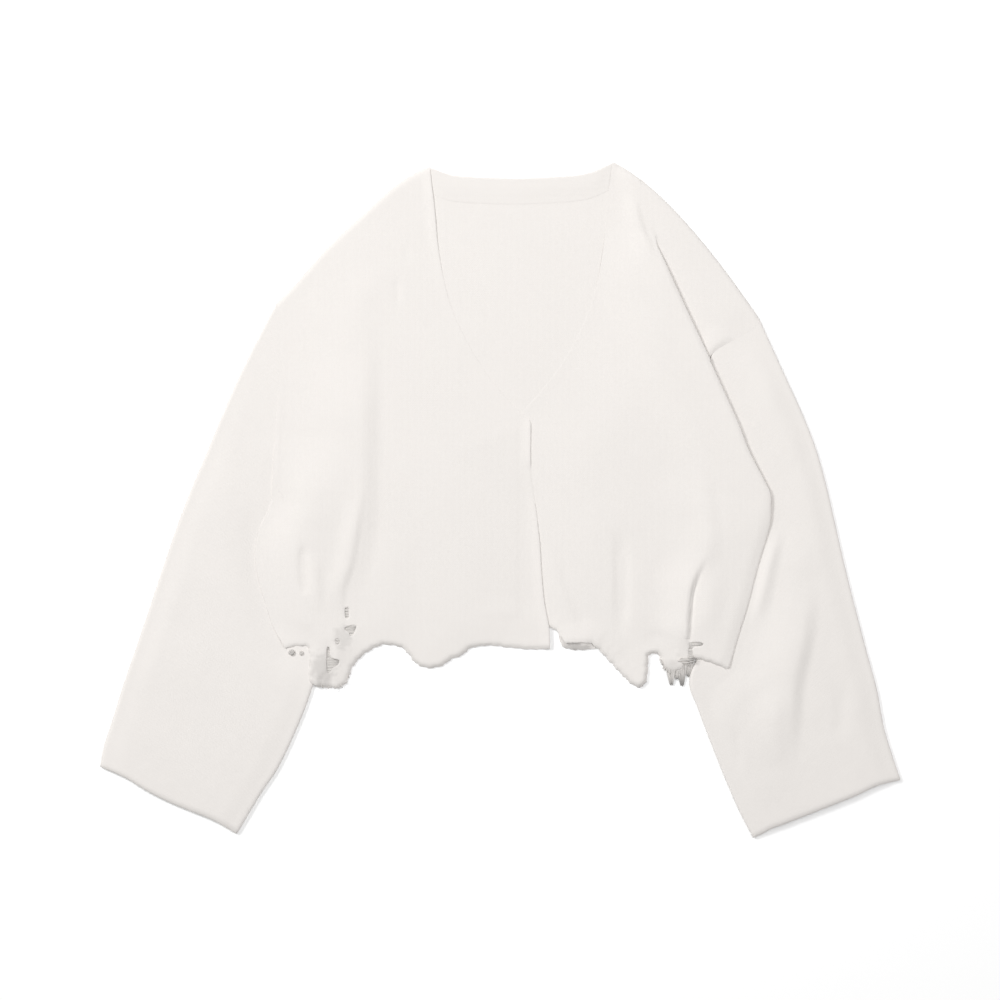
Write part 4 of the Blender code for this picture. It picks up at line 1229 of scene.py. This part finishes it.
def rip_ladders(rips, ladders, level, seed):
    """Slack yarns that still cross each rip, close together."""
    yarns = []
    for number, (ring, (depth, start)) in enumerate(zip(rip_outlines(rips), ladders)):
        low_y, high_y = ring[:, 1].min(), ring[:, 1].max()
        steps = max(2, int((high_y - low_y) / LADDER_SPACING))
        z = surface_at(level, *ring.mean(axis=0)) - YARN_RADIUS
        for k in range(steps):
            y = low_y + (high_y - low_y) * (k + 0.5) / steps
            crossed = ring[np.abs(ring[:, 1] - y) < 1.3, 0]
            first, last = crossed.min() - LADDER_ROOT, crossed.max() + LADDER_ROOT
            sag = 0.25 * sin(2.3 * k + number + seed)
            deep = depth * (1 + 0.12 * sin(3.1 * k + seed))
            path = [
                (first, y + 0.3 * sag, z - 0.3),
                (first + 0.3 * (last - first), y - sag, z - deep),
                (first + 0.7 * (last - first), y - 0.8 * sag, z - deep - 0.1),
                (last, y + 0.4, z - 0.3),
            ]
            yarns.append((path, LADDER_RADIUS, start))
    return yarns


def fringe(hem, first_x, last_x, spacing, length, level, below, seed):
    """Short loose ends along a stretch of the torn hem, each with its own length, lean and curl."""
    line = np.array([p for p in hem if first_x <= p[0] <= last_x])
    roots = spaced(line, max(2, int(run_of(line)[-1] / spacing)))
    yarns = []
    for k, (x, y) in enumerate(roots):
        wave = sin(2.7 * k + seed)
        other = sin(4.1 * k + 2 * seed)
        reach = length * (0.55 + 0.45 * wave)
        z = surface_at(level, x, y + 1)
        path = [
            (x - 0.4 * other, y + 2.2, z - 0.5),
            (x + 0.3 * wave, y - 0.2 * reach, z - 0.2),
            (x + 1.2 * other, y - 0.65 * reach, below + 0.5 * (z - below)),
            (x + 1.8 * wave + other, y - reach, below + 0.8 + abs(other)),
        ]
        yarns.append((path, YARN_RADIUS * (0.75 + 0.2 * other), 0.0))
    return yarns


def torn_locks(locks, high, low, seed):
    """Bunches of shredded ends. The yarns of a bunch run close together to its tip."""
    yarns = []
    for number, ((first_x, last_x, root_y), (tip_x, tip_y), tip_width, count) in enumerate(locks):
        for k in range(count):
            share = (k + 0.5) / count
            wave = sin(2.9 * k + number + seed)
            other = sin(5.3 * k + 1.3 * number + seed)
            root = np.array([first_x + (last_x - first_x) * share, root_y + 2.5 * other])
            tip = np.array([tip_x + tip_width * (share - 0.5), tip_y + 3.0 * abs(other)])
            path = []
            for t in (0.0, 0.3, 0.65, 1.0):
                x, y = root + (tip - root) * t
                z = high + (low - high) * t + 0.6 * wave * (1 - 0.6 * t)
                path.append((x + 0.6 * other * sin(pi * t), y, z))
            yarns.append((path, YARN_RADIUS * (1.0 + 0.2 * other), 0.0))
    return yarns


def knots(places, level, seed):
    """Small tangles of short yarns that cross each other."""
    yarns = []
    for number, (place, size, count) in enumerate(places):
        for k in range(count):
            turn = 2.4 * k + number + seed
            across = np.array([cos(turn), sin(turn)])
            aside = np.array([-across[1], across[0]]) * size * 0.45 * sin(1.9 * k + seed)
            path = []
            for t in (-1.0, -0.4, 0.4, 1.0):
                path.append((*(place + across * size * t * 0.8 + aside), level + 0.9 * (1 - t * t)))
            # The knots start far along the run, so that they get more painted shade
            yarns.append((path, YARN_RADIUS * 0.9, 12.0 - 3.0 * number))
    return yarns


def hem_bundle(first_x, last_x, y, z, seed):
    """Loose courses that have slipped off along a torn hem."""
    yarns = []
    for k in range(BUNDLE_YARNS):
        wave = sin(2.3 * k + seed)
        level = y - 1.5 * k
        path = [
            (first_x + 2 * wave, level, z),
            (first_x + 0.35 * (last_x - first_x), level - 0.8 * wave, z + 0.5),
            (first_x + 0.7 * (last_x - first_x), level + 0.7 * wave, z + 0.4),
            (last_x - 2 * abs(wave), level - 0.6, z - 0.2),
        ]
        yarns.append((path, YARN_RADIUS * 1.1, 3.0))
    return yarns


def yarns_at_hems():
    right = rip_ladders(RIGHT_FRONT_RIPS, RIGHT_LADDERS, right_front_under, 0.4)
    right += fringe(RIGHT_HEM_LINE, -196, -166, 7.0, 2.2, right_front_under, 1.0, 0.9)
    right += knots(RIGHT_KNOTS, KNOT_LEVEL, 0.8)
    yarn_group("right_hem_yarn", right, "right_hem_strands")
    left = rip_ladders(LEFT_FRONT_RIPS, LEFT_LADDERS, left_front_under, 1.4)
    left += fringe(LEFT_HEM_LINE, 176, 188, 3.2, 2.5, left_front_under, 2.0, 1.5)
    left += torn_locks(LEFT_LOCKS, *LOCK_LEVELS, 0.7)
    left += hem_bundle(*LEFT_BUNDLE, 0.6)
    yarn_group("left_hem_yarn", left, "left_hem_strands")


def stage_and_light():
    mesh = bpy.data.meshes.new("studio_floor")
    corners = [(FLOOR_HALF_M * a, FLOOR_HALF_M * b, 0) for a, b in ((-1, -1), (1, -1), (1, 1), (-1, 1))]
    mesh.from_pydata(corners, [], [[0, 1, 2, 3]])
    mesh.materials.append(floor_material())
    linked("studio_floor", mesh)
    for name, place, size, power in LIGHTS:
        light = bpy.data.lights.new(name, "AREA")
        light.shape = "SQUARE"
        light.size = size
        light.energy = power
        lamp = linked(name, light)
        lamp.location = place
        lamp.rotation_euler = (-Vector(place)).to_track_quat("-Z", "Y").to_euler()
    scene = bpy.context.scene
    scene.world = bpy.data.worlds.new("studio_sky")
    scene.world.use_nodes = True
    sky = scene.world.node_tree.nodes["Background"]
    fill(scene.world.node_tree, sky, {0: (1.0, 1.0, 1.0, 1.0), 1: SKY_STRENGTH})
    lens = bpy.data.cameras.new("top_camera")
    lens.type = "PERSP"
    lens.sensor_width = SENSOR_MM
    lens.lens = LENS_MM
    camera = linked("top_camera", lens)
    camera.location = (*CAMERA_SHIFT_M, FRAME_WIDTH_M * LENS_MM / SENSOR_MM)
    scene.camera = camera
    scene.view_settings.view_transform = "Standard"
    scene.view_settings.look = "None"


FRAME_MIDDLE = np.append(np.mean(CAD_BOUNDS, axis=0)[:2], 0.0)
RIGHT_ARMHOLE = joined(*armhole(-1))
RIGHT_SHOULDER = curved(SHOULDER_RIGHT, 60)
LEFT_SHOULDER = curved(SHOULDER_LEFT_INNER, 20)
RIGHT_SIDE_EDGE = joined(
    RIGHT_ARMHOLE[RIGHT_ARMHOLE[:, 1] < 80],
    curved([RIGHT_ARMHOLE[-1]] + RIGHT_SIDE, 50),
)
LEFT_ARMHOLE_TURN = armhole(1)[0][-1]
PLEAT_LINE = joined(
    curved(PLEAT_UPPER + [LEFT_ARMHOLE_TURN], 150),
    curved([LEFT_ARMHOLE_TURN] + PLEAT_LOWER, 220),
)
RIGHT_FREE_EDGE = joined(curved(RIGHT_NECK_EDGE, 40), curved(RIGHT_FRONT_EDGE, 40))
LEFT_FREE_EDGE = joined(curved(LEFT_NECK_EDGE, 40), curved(LEFT_FRONT_EDGE, 30))
RIGHT_HEM_LINE = torn_line(RIGHT_FRONT_HEM, 0.3)
LEFT_HEM_LINE = torn_line(LEFT_FRONT_HEM, 1.1)
MATERIALS = {
    "body_knit": knit_material("body_knit_look", spots=PAINTED_SHADE_SPOTS),
    "sleeve_knit": knit_material("sleeve_knit_look"),
    "band_knit": knit_material("band_knit_look", turned=True),
    "torn_yarn": knit_material("torn_yarn_look", SHADED_TORN_WOOL, TORN_KNIT, painted_shade_ends=True),
}

back()
back_neckband()
left_front()
right_front()
sleeve("right_sleeve", RIGHT_SLEEVE, -1)
sleeve("left_sleeve", LEFT_SLEEVE, 1)
yarns_at_hems()
stage_and_light()
